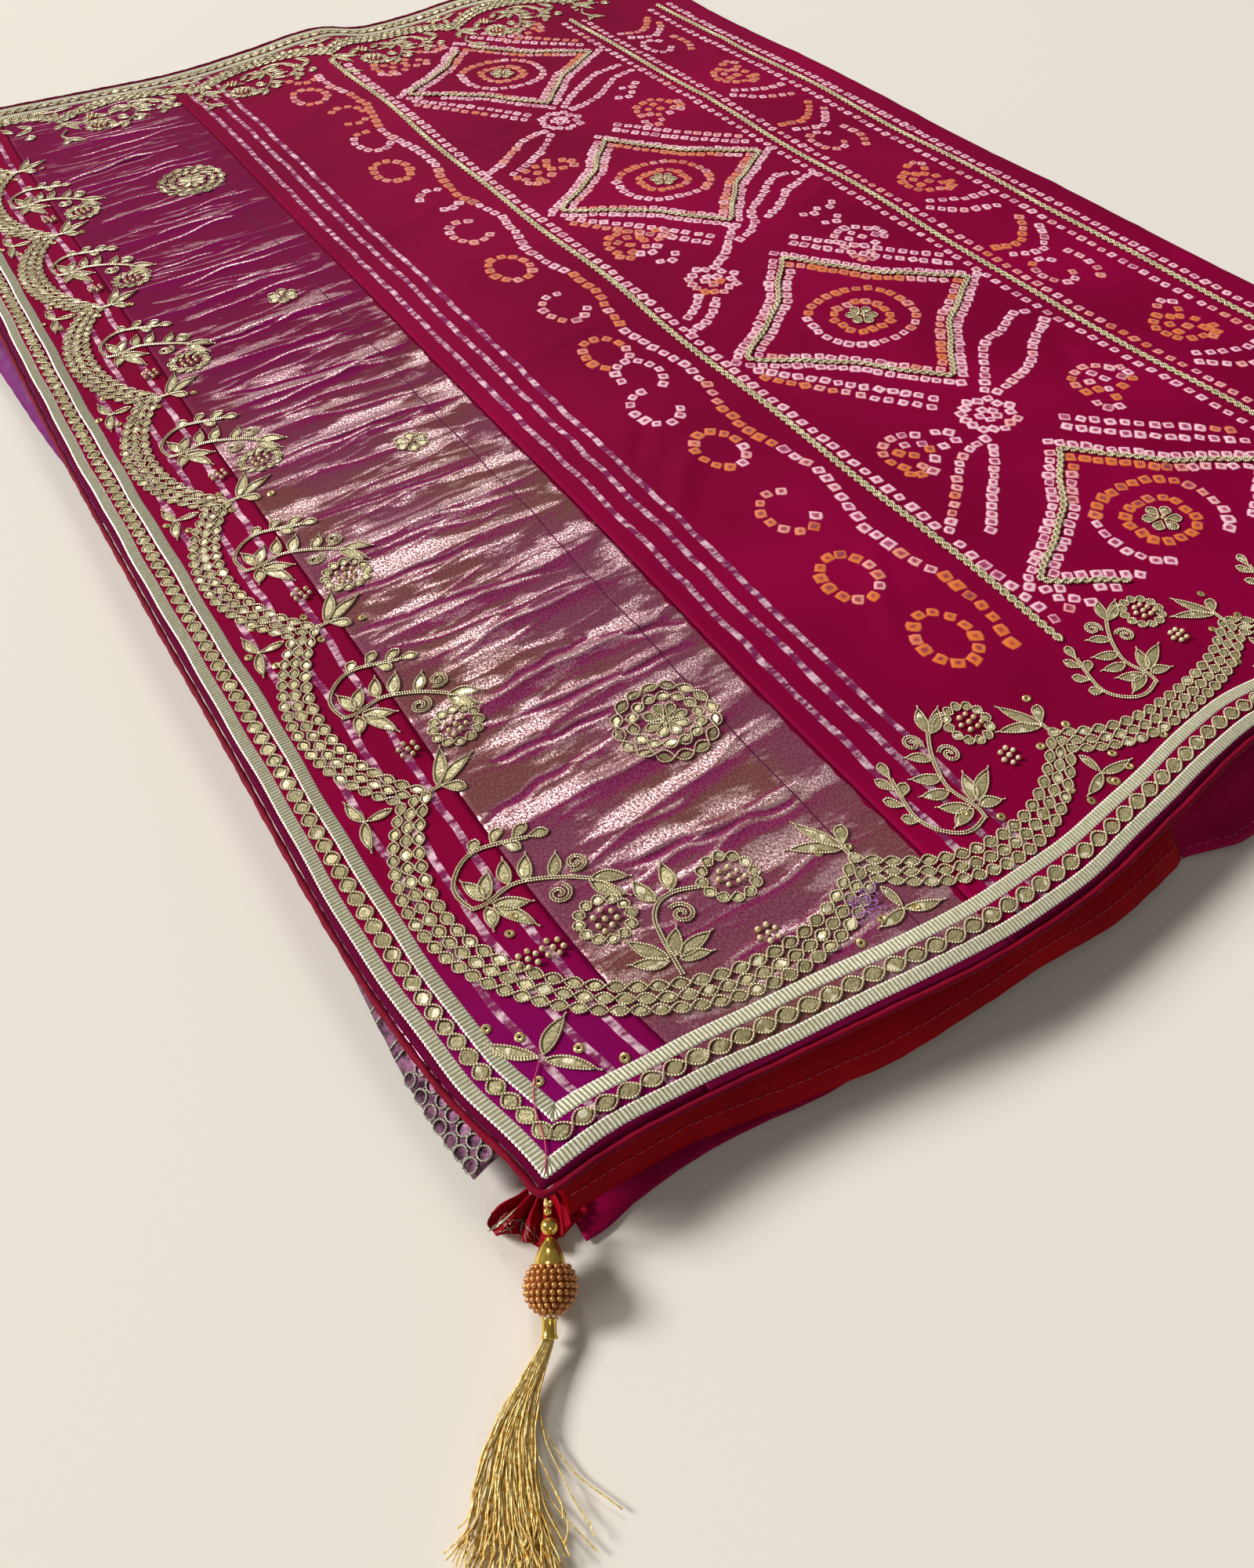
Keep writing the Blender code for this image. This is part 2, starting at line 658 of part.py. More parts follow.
def diamond_points(row, cells):
    """Closed outline of one diamond rope, each side drawn in a little at its middle."""
    corners = [(-1, 0), (0, 1), (1, 0), (0, -1)]
    points = []
    for k in range(4):
        a = corners[k]
        b = corners[(k + 1) % 4]
        for s in range(cells):
            t = s / cells
            draw = 1.0 - 0.10 * math.sin(math.pi * t) ** 2
            wave = 1.0 + 0.012 * math.sin(6.0 * math.pi * t + k)
            du = (a[0] * (1 - t) + b[0] * t) * draw * wave
            dv = (a[1] * (1 - t) + b[1] * t) * draw * wave
            points.append((row["along"] * MM + du * row["half_along"] * MM,
                           row["across"] * MM + dv * row["half_across"] * MM))
    return points


def rope_stations(points, closed):
    """Stations of a rope of even width along a line of flat places."""
    out = []
    last = len(points) - 1
    for k, (u, v) in enumerate(points):
        before = points[k - 1] if closed else points[max(k - 1, 0)]
        after = points[(k + 1) % len(points)] if closed else points[min(k + 1, last)]
        du = after[0] - before[0]
        dv = after[1] - before[1]
        size = math.hypot(du, dv)
        out.append((u, v, -dv / size, du / size, -0.0025, 0.0025))
    return out


# The ropes of the outer diamonds stop short of the border's sprays
ROPE_LOW = 0.108
ROPE_HIGH = WIDTH - 0.108


def diamond_rope(row):
    """Rope round one diamond, open where it meets the border."""
    points = diamond_points(row, 7)
    kept = [ROPE_LOW <= v <= ROPE_HIGH for u, v in points]
    closed = all(kept)
    if not closed:
        start = next(k for k in range(len(kept)) if kept[k] and not kept[k - 1])
        points = points[start:] + points[:start]
        points = [(u, v) for u, v in points if ROPE_LOW <= v <= ROPE_HIGH]
    strip_on_cloth(row["name"] + "_rope", rope_stations(points, closed), [(0.5, 0.0014)], GOTA,
                   0.003, closed=closed)


# Gota lines across the field: place along, and where each starts and ends across
GOTA_LINES = [
    {"name": "gota_line_1", "along": 373, "start": 97, "end": 1046},
    {"name": "gota_line_2", "along": 624, "start": 74, "end": 1018},
    {"name": "gota_line_3", "along": 725, "start": 74, "end": 1008},
]


def build_motifs():
    """Medallions, small flowers, diamond ropes with their centre flowers, and gota lines."""
    for row in MEDALLIONS:
        disc_on_cloth(row["name"], row["along"] * MM, row["across"] * MM, row["radius"] * MM,
                      row["petals"], [(0.62, 0.0015), (0.30, 0.0011)])
    for row in SMALL_FLOWERS:
        disc_on_cloth(row["name"], row["along"] * MM, row["across"] * MM, row["radius"] * MM,
                      row["petals"], [(0.5, 0.0013)])
    ridge = [(0.5, 0.0014)]
    for row in DIAMONDS:
        diamond_rope(row)
        disc_on_cloth(row["name"] + "_flower", row["along"] * MM, row["across"] * MM, 0.0115, 6,
                      [(0.5, 0.0013)])
    for row in GOTA_LINES:
        cells = 31
        stations = []
        for k in range(cells + 1):
            v = (row["start"] + (row["end"] - row["start"]) * k / cells) * MM
            sway = 0.0012 * math.sin(2 * math.pi * v / 0.19 + row["along"])
            stations.append((row["along"] * MM + sway, v, 1.0, 0.0, -0.0030, 0.0030))
        strip_on_cloth(row["name"], stations, ridge, GOTA, 0.003)


def tube(name, path, radii, sides, colour, roughness=0.5, metallic=0.0, turn=0.0, up=(0, 0, 1)):
    """Round solid swept along a line of points with a radius at each."""
    verts = []
    count = len(path)
    points = [Vector(p) for p in path]
    for k, point in enumerate(points):
        ahead = points[min(k + 1, count - 1)] - points[max(k - 1, 0)]
        ahead.normalize()
        side = ahead.cross(Vector(up)).normalized()
        top = side.cross(ahead).normalized()
        for s in range(sides):
            angle = turn + 2 * math.pi * s / sides
            verts.append(point + radii[k] * (math.cos(angle) * side + math.sin(angle) * top))
    faces = [tuple(range(sides - 1, -1, -1))]
    for k in range(count - 1):
        for s in range(sides):
            a = k * sides + s
            b = k * sides + (s + 1) % sides
            faces.append((a, b, b + sides, a + sides))
    faces.append(tuple(range((count - 1) * sides, count * sides)))
    return finish_object(name, verts, faces, colour, roughness, metallic, smooth=sides > 4)


ROLL_RADIUS = 0.0016


def build_hem_roll():
    """Rolled wine-red edge that runs round both selvedges and the pallu end."""
    out = HEM + GAP + ROLL_RADIUS
    along = STRIP_ALONG[1:] + TISSUE_ALONG + FIELD_ALONG[:-1] + [LEG_END]
    across = STRIP_ACROSS[1:-1]
    flat = [(u, -out) for u in reversed(along)]
    flat.append((-out, -out))
    flat += [(-out, v) for v in across]
    flat.append((-out, WIDTH + out))
    flat += [(u, WIDTH + out) for u in along]
    path = []
    for u, v in flat:
        x, y = spread(u, v)
        inner_u = max(u, -HEM)
        inner_v = min(max(v, -HEM), WIDTH + HEM)
        path.append((x, y, sheet_height(inner_u, inner_v) - 0.0009))
    tube("hem_roll", path, [ROLL_RADIUS] * len(path), 4, RED, 0.7, turn=math.pi / 4)


# Layers of the stack that show beyond the hem. Each profile runs from under the sheet to the
# free edge: share of the overhang and height in millimetres. Edges list the overhang, and how
# far the ply starts clear of the stack's mean side.
def ledge(name, side, table, profile, colour, ripple, step=17.0, roughness=0.6, metallic=0.0):
    """Sheet wall that comes out of the stack's side and falls towards the floor."""
    key = "place"
    first = table[key][0]
    last = table[key][-1]
    tucked = PAD_INSET / MM - table["clear"]
    cells = max(round((last - first) / step), 4)
    top = []
    bottom = []
    for k in range(cells + 1):
        place = first + (last - first) * k / cells
        out = smooth_table(table, key, "out", place)
        wave = ripple * math.sin(2 * math.pi * place / 61.0 + 1.3)
        row_top = []
        row_bottom = []
        for n, (share, height) in enumerate(profile):
            reach = out * share - tucked * (1.0 - share)
            lift = height + wave * share
            a = max(n - 1, 0)
            b = min(n + 1, len(profile) - 1)
            rise = profile[b][1] - profile[a][1]
            run = (profile[b][0] - profile[a][0]) * (out + tucked)
            size = math.hypot(rise, run)
            tilt_out = rise / size * WALL / MM
            tilt_up = -run / size * WALL / MM
            for rows, d_out, d_up in ((row_top, 0.0, 0.0), (row_bottom, tilt_out, tilt_up)):
                reach_here = (reach + d_out) * MM
                if side == "near":
                    x, y = spread(place * MM, 0.0)
                    point = (x, y - reach_here, (lift + d_up) * MM)
                else:
                    x, y = spread(0.0, place * MM)
                    point = (x - reach_here, y, (lift + d_up) * MM)
                rows.append(point)
        top.append(row_top)
        bottom.append(row_bottom)
    return sheet_solid(name, top, bottom, colour, roughness, metallic)


RED_LINING = {
    "clear": 1.05,
    "place": [4, 28, 68, 86, 117, 154, 197, 235, 290, 329, 336],
    "out": [10, 11, 12, 14, 17, 17.5, 13.5, 12.5, 18, 19, 18],
}
MAGENTA_PLY = {
    "clear": 1.85,
    "place": [14, 30, 44, 67, 95, 125, 160],
    "out": [17, 17.5, 16, 15.5, 15.5, 16, 11],
}
PINK_PLY = {
    "clear": 0.05,
    "place": [341, 372, 420, 480, 550, 640, 700, 752],
    "out": [18, 33, 35, 32, 30, 27, 24, 20],
}
VIOLET_PLY = {
    "clear": 0.65,
    "place": [505, 545, 584, 614, 657, 700, 760, 850, 930, 980],
    "out": [3, 4, 7, 10, 13, 16, 19, 17, 10, 4],
}
TISSUE_PLY = {
    "clear": 0.0,
    "place": [34, 60, 78, 105, 125, 150, 190],
    "out": [15, 13, 11, 8, 6, 5, 3],
}


def build_ledges():
    """Stretches of lower layers seen beyond the hem on the near and pallu sides."""
    ledge("red_lining", "near", RED_LINING,
          [(0.0, 22.0), (0.30, 21.6), (0.58, 19.0), (0.82, 13.5), (1.0, 7.8)], RED, 0.7)
    ledge("magenta_ply", "near", MAGENTA_PLY,
          [(0.0, 3.4), (0.35, 3.6), (0.7, 3.0), (1.0, 1.9)], MAGENTA, 0.2)
    ledge("pink_ply", "near", PINK_PLY,
          [(0.0, 17.0), (0.25, 16.8), (0.5, 13.0), (0.68, 7.6), (0.8, 7.4), (1.0, 3.6)],
          MAGENTA, 0.9, 26.0)
    ledge("violet_ply", "pallu", VIOLET_PLY,
          [(0.0, 21.6), (0.4, 21.4), (0.75, 17.5), (1.0, 11.0)], VIOLET, 0.6, 26.0)
    ledge("zari_ply", "pallu", TISSUE_PLY,
          [(0.0, 20.0), (0.35, 20.0), (0.7, 17.0), (1.0, 10.5)], TISSUE, 0.5, 17.0, 0.4, 0.4)


# The gathered corner of the lower layers: angle round the corner, reach, and height
CORNER_RUFFLE = {
    "turn": [182, 192, 203, 214, 226, 238, 252, 271],
    "reach": [23, 25, 24, 20, 22, 21, 18, 18],
    "rise": [7.0, 4.5, 7.5, 4.2, 6.4, 4.0, 5.6, 8.9],
}


def build_corner_ruffle():
    """Bunched red corner under the tassel's loop, as one ruffled wall."""
    centre_u = 0.004
    centre_v = 0.008
    top = []
    bottom = []
    for k in range(len(CORNER_RUFFLE["turn"])):
        angle = math.radians(CORNER_RUFFLE["turn"][k])
        reach = CORNER_RUFFLE["reach"][k]
        rise = CORNER_RUFFLE["rise"][k]
        row_top = []
        row_bottom = []
        for share, height in ((0.30, rise * 0.5 + 3.5), (0.65, rise * 0.9 + 1.2),
                              (1.0, rise * 0.75 + 0.6)):
            x, y = spread(centre_u, centre_v)
            x += reach * share * MM * math.cos(angle)
            y += reach * share * MM * math.sin(angle)
            row_top.append((x, y, height * MM))
            row_bottom.append((x, y, (height - 1.4) * MM))
        top.append(row_top)
        bottom.append(row_bottom)
    sheet_solid("corner_ruffle", top, bottom, RED, 0.7)


# The tassel lies on the floor from the near pallu corner: places in millimetres from the
# corner of the gota, with the height of the middle line above the floor
TASSEL = {
    "loop_start": (2.2, 0.8, 0.0),
    "small_bead": (-3.6, -6.6, 17.0),
    "bead": (-5.6, -11.0, 14.6),
    "cap_top": (-7.4, -14.4, 13.4),
    "cap_base": (-12.9, -23.4, 12.0),
    "ball": (-15.9, -29.0, 11.0),
    "ferrule_start": (-21.4, -37.2, 8.4),
    "ferrule_end": (-25.0, -43.2, 6.4),
}
TASSEL_BALL_RADIUS = 0.0105
STRAND_COUNT = 48


def from_corner(x, y, z):
    """Row place of a point given in millimetres from the near pallu corner."""
    base_x, base_y = spread(0.0, 0.0)
    return Vector((base_x + x * MM, base_y + y * MM, z * MM))


def turned_solid(name, start, end, profile, sides, colour, roughness=0.3, metallic=1.0):
    """Solid turned about the line between two points: (share of the way, radius in mm)."""
    axis = end - start
    path = [start + axis * share for share, radius in profile]
    return tube(name, path, [radius * MM for share, radius in profile], sides, colour,
                roughness, metallic)


def build_tassel():
    """Cord loop, beads, cap, beaded ball, ferrule and metallic strands."""
    p = {key: from_corner(*place) for key, place in TASSEL.items()}
    way = (p["cap_top"] - p["small_bead"]).normalized()
    half = way * 0.00135
    cord = 0.0010
    loop_start = p["loop_start"]
    loop_start.z = sheet_height(0.0022, 0.0008) - WALL - GAP - cord
    loop_end = p["small_bead"] - half - way * (GAP + cord)
    bow = loop_start.lerp(loop_end, 0.45) + Vector((-0.0012, -0.001, 0))
    tube("tassel_loop", [loop_start, bow, loop_end], [cord] * 3, 6, THREAD, 0.45, 0.5, up=(1, 0, 0))
    turned_solid("tassel_small_bead", p["small_bead"] - half, p["small_bead"] + half,
                 [(0, 0.7), (0.25, 1.5), (0.75, 1.5), (1, 0.7)], 8, BRASS)
    turned_solid("tassel_bead", p["bead"] - way * 0.0031, p["bead"] + way * 0.0031,
                 [(0, 1.0), (0.16, 2.4), (0.5, 3.4), (0.84, 2.4), (1, 1.0)], 10, BRASS)
    turned_solid("tassel_cap", p["cap_top"], p["cap_base"],
                 [(0, 1.5), (0.12, 2.6), (0.45, 4.6), (0.80, 6.0), (1, 6.4)], 12, BRASS)
    way = (p["ferrule_start"] - p["cap_base"]).normalized()
    near = p["ball"] - way * 0.0056
    far = p["ball"] + way * 0.0093
    profile = []
    for share in (0.0, 0.2, 0.42, 0.62, 0.8, 1.0):
        along = -0.0056 + (0.0093 + 0.0056) * share
        radius = math.sqrt(max(TASSEL_BALL_RADIUS**2 - along**2, 1e-8)) / MM
        profile.append((share, radius))
    turned_solid("tassel_ball", near, far, profile, 12, COPPER, 0.35, 0.4)
    turned_solid("tassel_ferrule", p["ferrule_start"], p["ferrule_end"],
                 [(0, 3.0), (0.5, 2.8), (1, 3.0)], 10, BRASS)
    build_strands(p["ferrule_end"])


def build_strands(neck):
    """Metallic strands fused into one head, fanned out and lying just above the floor."""
    rng = np.random.default_rng(41)
    way = Vector((-0.654, -0.756, -0.045)).normalized()
    side = Vector((0.756, -0.654, 0.0))
    lift = Vector((0, 0, 1))
    head = neck + way * 0.0011
    columns = 8
    rows = STRAND_COUNT // columns
    wide = 0.0044
    high = 0.0038
    plate = 0.0022
    width = 0.00017
    row_rise = 0.00065
    lowest = 0.0008
    verts = []
    faces = []
    base = []
    for r in range(rows + 1):
        for c in range(columns + 1):
            across = (c / columns - 0.5) * wide
            up = (r / rows - 0.5) * high
            base.append((across, up))
    front = []
    for across, up in base:
        front.append(len(verts))
        verts.append(head + way * plate + side * across + lift * up)
    back = []
    rim = list(range(columns + 1))
    rim += [r * (columns + 1) + columns for r in range(1, rows + 1)]
    rim += [rows * (columns + 1) + c for c in range(columns - 1, -1, -1)]
    rim += [r * (columns + 1) for r in range(rows - 1, 0, -1)]
    for k in rim:
        across, up = base[k]
        back.append(len(verts))
        verts.append(head + side * across * 0.9 + lift * up * 0.9)
    for k in range(len(rim)):
        n = (k + 1) % len(rim)
        faces.append((front[rim[k]], front[rim[n]], back[n], back[k]))
    faces.append(tuple(back))
    for r in range(rows):
        for c in range(columns):
            corners = [r * (columns + 1) + c, r * (columns + 1) + c + 1,
                       (r + 1) * (columns + 1) + c + 1, (r + 1) * (columns + 1) + c]
            spot = sum((verts[front[k]] for k in corners), Vector()) / 4
            inner = [len(verts), len(verts) + 1, len(verts) + 2]
            fan_side = (c + 0.5) / columns - 0.5
            fan_up = (r + 0.5) / rows
            for n in range(3):
                angle = math.pi / 2 + 2 * math.pi * n / 3
                verts.append(spot + (side * math.cos(angle) + lift * math.sin(angle)) * width)
            cell = [front[k] for k in corners]
            faces.append((cell[0], cell[1], inner[2], inner[1]))
            faces.append((cell[1], cell[2], inner[0], inner[2]))
            faces.append((cell[2], cell[3], inner[0]))
            faces.append((cell[3], cell[0], inner[1], inner[0]))
            length = 0.066 + 0.012 * rng.random()
            fan = fan_side * 0.050 + 0.003 * (rng.random() - 0.5)
            previous = inner
            for share in (0.30, 0.65, 1.0):
                bow = 0.005 * math.sin(math.pi * share)
                along = length * share
                height = lowest + row_rise * r * (1.0 - 0.55 * share)
                height += (0.0006 + 0.0052 * (1 - share) ** 1.5 * fan_up) * (1 - share)
                centre = spot + way * along + side * (fan * share**0.8 - bow)
                centre.z = height
                here = []
                for n in range(3):
                    angle = math.pi / 2 + 2 * math.pi * n / 3
                    here.append(len(verts))
                    verts.append(centre + (side * math.cos(angle) + lift * math.sin(angle)) * width)
                for n in range(3):
                    m = (n + 1) % 3
                    faces.append((previous[n], previous[m], here[m], here[n]))
                previous = here
            faces.append(tuple(previous))
    finish_object("tassel_strands", verts, faces, THREAD, 0.4, 0.6)


build_pad()
build_ledges()
build_corner_ruffle()
build_sheets()
build_hem_roll()
build_ribbons()
build_scallops()
build_sprays()
build_motifs()
build_tassel()
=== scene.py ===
import json
import math
from functools import partial
import bpy
import numpy as np
from mathutils import Matrix, Vector

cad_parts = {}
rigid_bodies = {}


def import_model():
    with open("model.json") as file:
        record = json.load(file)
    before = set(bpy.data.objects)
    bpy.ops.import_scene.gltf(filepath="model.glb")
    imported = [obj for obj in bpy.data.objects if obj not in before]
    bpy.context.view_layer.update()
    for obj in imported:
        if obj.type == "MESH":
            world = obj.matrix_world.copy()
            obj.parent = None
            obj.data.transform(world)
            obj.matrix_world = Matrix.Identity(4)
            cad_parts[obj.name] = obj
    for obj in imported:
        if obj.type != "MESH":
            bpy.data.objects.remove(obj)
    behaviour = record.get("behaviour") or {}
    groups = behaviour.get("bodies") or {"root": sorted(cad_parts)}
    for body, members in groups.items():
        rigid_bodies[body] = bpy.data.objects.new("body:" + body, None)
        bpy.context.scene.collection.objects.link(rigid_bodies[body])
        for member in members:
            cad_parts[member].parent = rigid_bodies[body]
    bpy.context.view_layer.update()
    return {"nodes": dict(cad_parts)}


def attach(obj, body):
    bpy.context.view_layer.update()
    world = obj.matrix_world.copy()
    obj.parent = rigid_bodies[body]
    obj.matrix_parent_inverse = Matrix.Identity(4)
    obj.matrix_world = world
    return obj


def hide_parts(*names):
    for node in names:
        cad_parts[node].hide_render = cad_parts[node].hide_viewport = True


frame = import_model()
mm = 0.001
print("frame loaded:", len(frame["nodes"]), "solids")


# The folded saree in metres, as its solids have it. u runs along from the pallu end, v across
# from the near selvedge, both from the outer edge of the gota.
saree = {
    "length": 0.775, "width": 1.120, "height": 0.032, "hem": 0.0035,
    "stripEnd": 0.072, "tissueEnd": 0.218, "foldRadius": 0.0155, "foldTurn": 162.0,
    "waves": [(310, 72, 0.6, 0.9), (205, 12, 2.1, 0.6), (430, 118, 4.0, 0.8)],   # mm, degrees, start, mm
    "hemRipple": (0.0010, 0.171, 0.9), "endRipple": (0.0009, 0.236, 2.3), "rippleReach": 0.06,
    "hemDrop": 0.0012, "dropReach": 0.016, "floorGap": 0.0005,
}
width, hem = saree["width"], saree["hem"]
foldStart = saree["length"] - saree["foldRadius"]
legEnd = foldStart - 0.004

# How far each edge bulges outwards in mm, and how far the far edge lifts off the layers below
edges = {
    "pallu": ([0, 50, 110, 170, 270, 370, 500, 620, 760, 900, 1000, 1070, 1120],
        [0, 11, 17, 19, 19, 20, 20, 19, 16, 14, 12, 7, 0]),
    "near": ([0, 33, 66, 100, 146, 203, 269, 338, 404, 470, 540, 620, 700, 775],
        [0, -1, 1, 5, 11, 18, 17, 7, -3, 0, 5, 2, 4, 0]),
    "far": ([0, 75, 149, 228, 319, 391, 432, 492, 554, 640, 700, 775],
        [0, 1, -5, -6, 1, 7, -3, 0, 4, 0, 3, 0]),
    "lift": ([0, 75, 149, 228, 319, 391, 432, 492, 554, 640, 700, 775],
        [0, 0, -0.5, -0.8, 2.0, 4.5, 0.6, 0.5, 2.5, 0.3, 1.6, 0]),
    "palluReach": 0.20, "sideReach": 0.16, "liftReach": 0.13,
}

# Folds of the cloth, in mm
creases = {
    # soft wrinkles of the tissue: place across, rise, lean and half width
    "tissue": [(72, 0.8, 6, 8), (101, 1.5, -8, 9), (128, 1.0, 10, 7), (152, 1.8, 14, 9), (199, 1.3, 18, 8),
        (226, 2.0, 12, 10), (268, 1.4, -5, 9), (297, 1.9, 16, 9), (338, 1.2, 9, 8), (371, 2.1, 15, 11),
        (412, 1.1, -6, 8), (476, 1.7, 12, 10), (508, 1.0, 4, 8), (549, 1.8, 13, 10), (596, 1.3, -4, 9),
        (633, 1.6, 8, 9), (689, 1.2, 11, 9), (731, 1.9, 15, 10), (768, 1.0, -7, 8), (807, 1.6, 9, 10),
        (851, 0.9, 5, 9), (917, 1.5, 8, 10), (953, 1.1, -5, 9), (1001, 1.3, 7, 9), (1046, 0.8, 4, 8)],
    # sharp troughs of the tissue: from (u, v) to (u, v), depth and half width
    "troughs": [(108, 103, 190, 96, 1.7, 2.6), (67, 160, 122, 168, 1.4, 2.8), (84, 190, 150, 186, 1.2, 2.4),
        (110, 208, 212, 201, 1.1, 2.6), (112, 229, 163, 236, 1.5, 3.0), (160, 236, 224, 216, 1.4, 2.8),
        (68, 307, 175, 293, 1.3, 2.6), (58, 336, 147, 334, 1.1, 2.4), (84, 406, 184, 404, 0.6, 1.2),
        (76, 472, 168, 479, 1.1, 2.6), (98, 561, 190, 549, 1.0, 2.4), (82, 622, 146, 630, 1.2, 2.8),
        (120, 702, 202, 694, 1.0, 2.4), (80, 742, 150, 752, 1.1, 2.6), (104, 826, 196, 820, 0.9, 2.4),
        (86, 934, 168, 944, 1.0, 2.6), (92, 1012, 180, 1006, 0.8, 2.4)],
    # creases of the dyed field: from (u, v) to (u, v), rise and half width
    "field": [(262, 300, 312, 345, 1.1, 7), (272, 352, 300, 392, -0.8, 5), (240, 690, 330, 735, 0.9, 8),
        (300, 150, 345, 215, 0.8, 7), (395, 590, 455, 540, 0.7, 9), (560, 250, 600, 330, -0.6, 7),
        (640, 520, 700, 470, 0.7, 8), (655, 180, 740, 230, 0.9, 10), (430, 250, 470, 215, -0.6, 6),
        (555, 815, 640, 770, 0.8, 9), (280, 930, 350, 980, 0.8, 8), (740, 620, 758, 700, 0.7, 8),
        (745, 330, 757, 420, -0.6, 7), (245, 480, 340, 505, 0.6, 6), (690, 860, 745, 905, 0.7, 8),
        (560, 560, 610, 585, 0.6, 6), (385, 800, 470, 830, -0.6, 8), (600, 60, 700, 95, 0.8, 8)],
    # pulls that run round the fold: place across, rise and half width
    "fold": [(70, 0.6, 8), (148, -0.5, 6), (236, 0.8, 11), (318, -0.4, 5), (395, 0.6, 7), (486, 0.9, 12),
        (557, -0.6, 7), (648, 0.7, 9), (742, -0.5, 6), (823, 0.9, 10), (905, 0.5, 6), (977, -0.6, 8),
        (1046, 0.7, 9)],
    # finer crush lines: count, rise, half width, length and latest start, drawn with this seed
    "crush": [(64, (0.5, 1.25), (2.6, 5.0), (80, 150), 110), (130, (0.14, 0.5), (1.4, 3.0), (30, 90), 160)],
    "crushSeed": 12, "crushAcross": (25, 1070), "crushLean": (-16, 28), "crushStart": 66,
    # the line where the panel was once folded: place, depth and half width in metres
    "pressed": (0.1900, 0.0005, 0.0009),
}


def smoothTable(table, where):
    # value at places between a table's rows, on one smooth curve
    xs, ys = (np.asarray(row, float) for row in table)
    where = np.clip(where, xs[0], xs[-1])
    i = np.clip(np.searchsorted(xs, where) - 1, 0, len(xs) - 2)
    t = (where - xs[i]) / (xs[i + 1] - xs[i])
    slopeA = (ys[i + 1] - ys[np.maximum(i - 1, 0)]) * 0.5
    slopeB = (ys[np.minimum(i + 2, len(ys) - 1)] - ys[i]) * 0.5
    return ((2 * t**3 - 3 * t**2 + 1) * ys[i] + (t**3 - 2 * t**2 + t) * slopeA
            + (3 * t**2 - 2 * t**3) * ys[i + 1] + (t**3 - t**2) * slopeB)


def smoothLine(points, fine):
    # a line through the points, rounded between them
    points = np.asarray(points, float)
    t = np.linspace(0, len(points) - 1, (len(points) - 1) * fine + 1)
    return np.stack([smoothTable((np.arange(len(points)), points[:, n]), t) for n in range(2)], axis=1)


def fade(distance, reach):
    t = np.clip(distance / reach, 0.0, 1.0)
    return 1.0 - t * t * (3.0 - 2.0 * t)


def unit(vectors):
    return vectors / np.maximum(np.linalg.norm(vectors, axis=-1, keepdims=True), 1e-12)


def sideAndTop(way):
    # level sideways and upward directions of a way
    side = unit(np.cross(way, [0.0, 0.0, 1.0]))
    return side, np.cross(side, way)


def spread(u, v):
    # plan place of the cloth, with its edges bulged
    pallu, near, far = (smoothTable(edges[side], place / mm) * mm
                        for side, place in (("pallu", v), ("near", u), ("far", u)))
    x = u - pallu * fade(u, edges["palluReach"])
    y = v - near * fade(v, edges["sideReach"]) + far * fade(width - v, edges["sideReach"])
    return x - saree["length"] / 2, y - width / 2


def makeCrushLines():
    rng = np.random.default_rng(creases["crushSeed"])
    first, span = creases["crushAcross"]
    rows = []
    for count, rise, half, reach, latest in creases["crush"]:
        for k in range(count):
            middle = first + span * (k + rng.random()) / count
            start = rng.uniform(creases["crushStart"], latest)
            rows.append((middle, rng.uniform(*creases["crushLean"]), start, start + rng.uniform(*reach),
                         rng.uniform(*rise), rng.uniform(*half), rng.uniform(0, 6.28)))
    return rows


crushLines = makeCrushLines()


def creaseHeight(u, v, rows, banks=0.0):
    # creases along nearly straight rows, with banks beside them if they are sharp
    total = np.zeros_like(u)
    for u0, v0, u1, v1, rise, half in rows:
        du, dv = (u1 - u0) * mm, (v1 - v0) * mm
        size = math.hypot(du, dv)
        t = ((u - u0 * mm) * du + (v - v0 * mm) * dv) / size**2
        off = ((u - u0 * mm) * dv - (v - v0 * mm) * du) / size / (half * mm)
        off = off + 0.35 * np.sin(t * 5.0 + u0) + banks * 0.4 * np.sin(t * 17.0 + v0)
        ends = np.clip(t * 3.0 + 0.4, 0, 1) * np.clip((1.0 - t) * 3.0 + 0.4, 0, 1)
        total += rise * mm * ends * np.exp(-off * off) * (1.0 - banks * off * off)
    return total


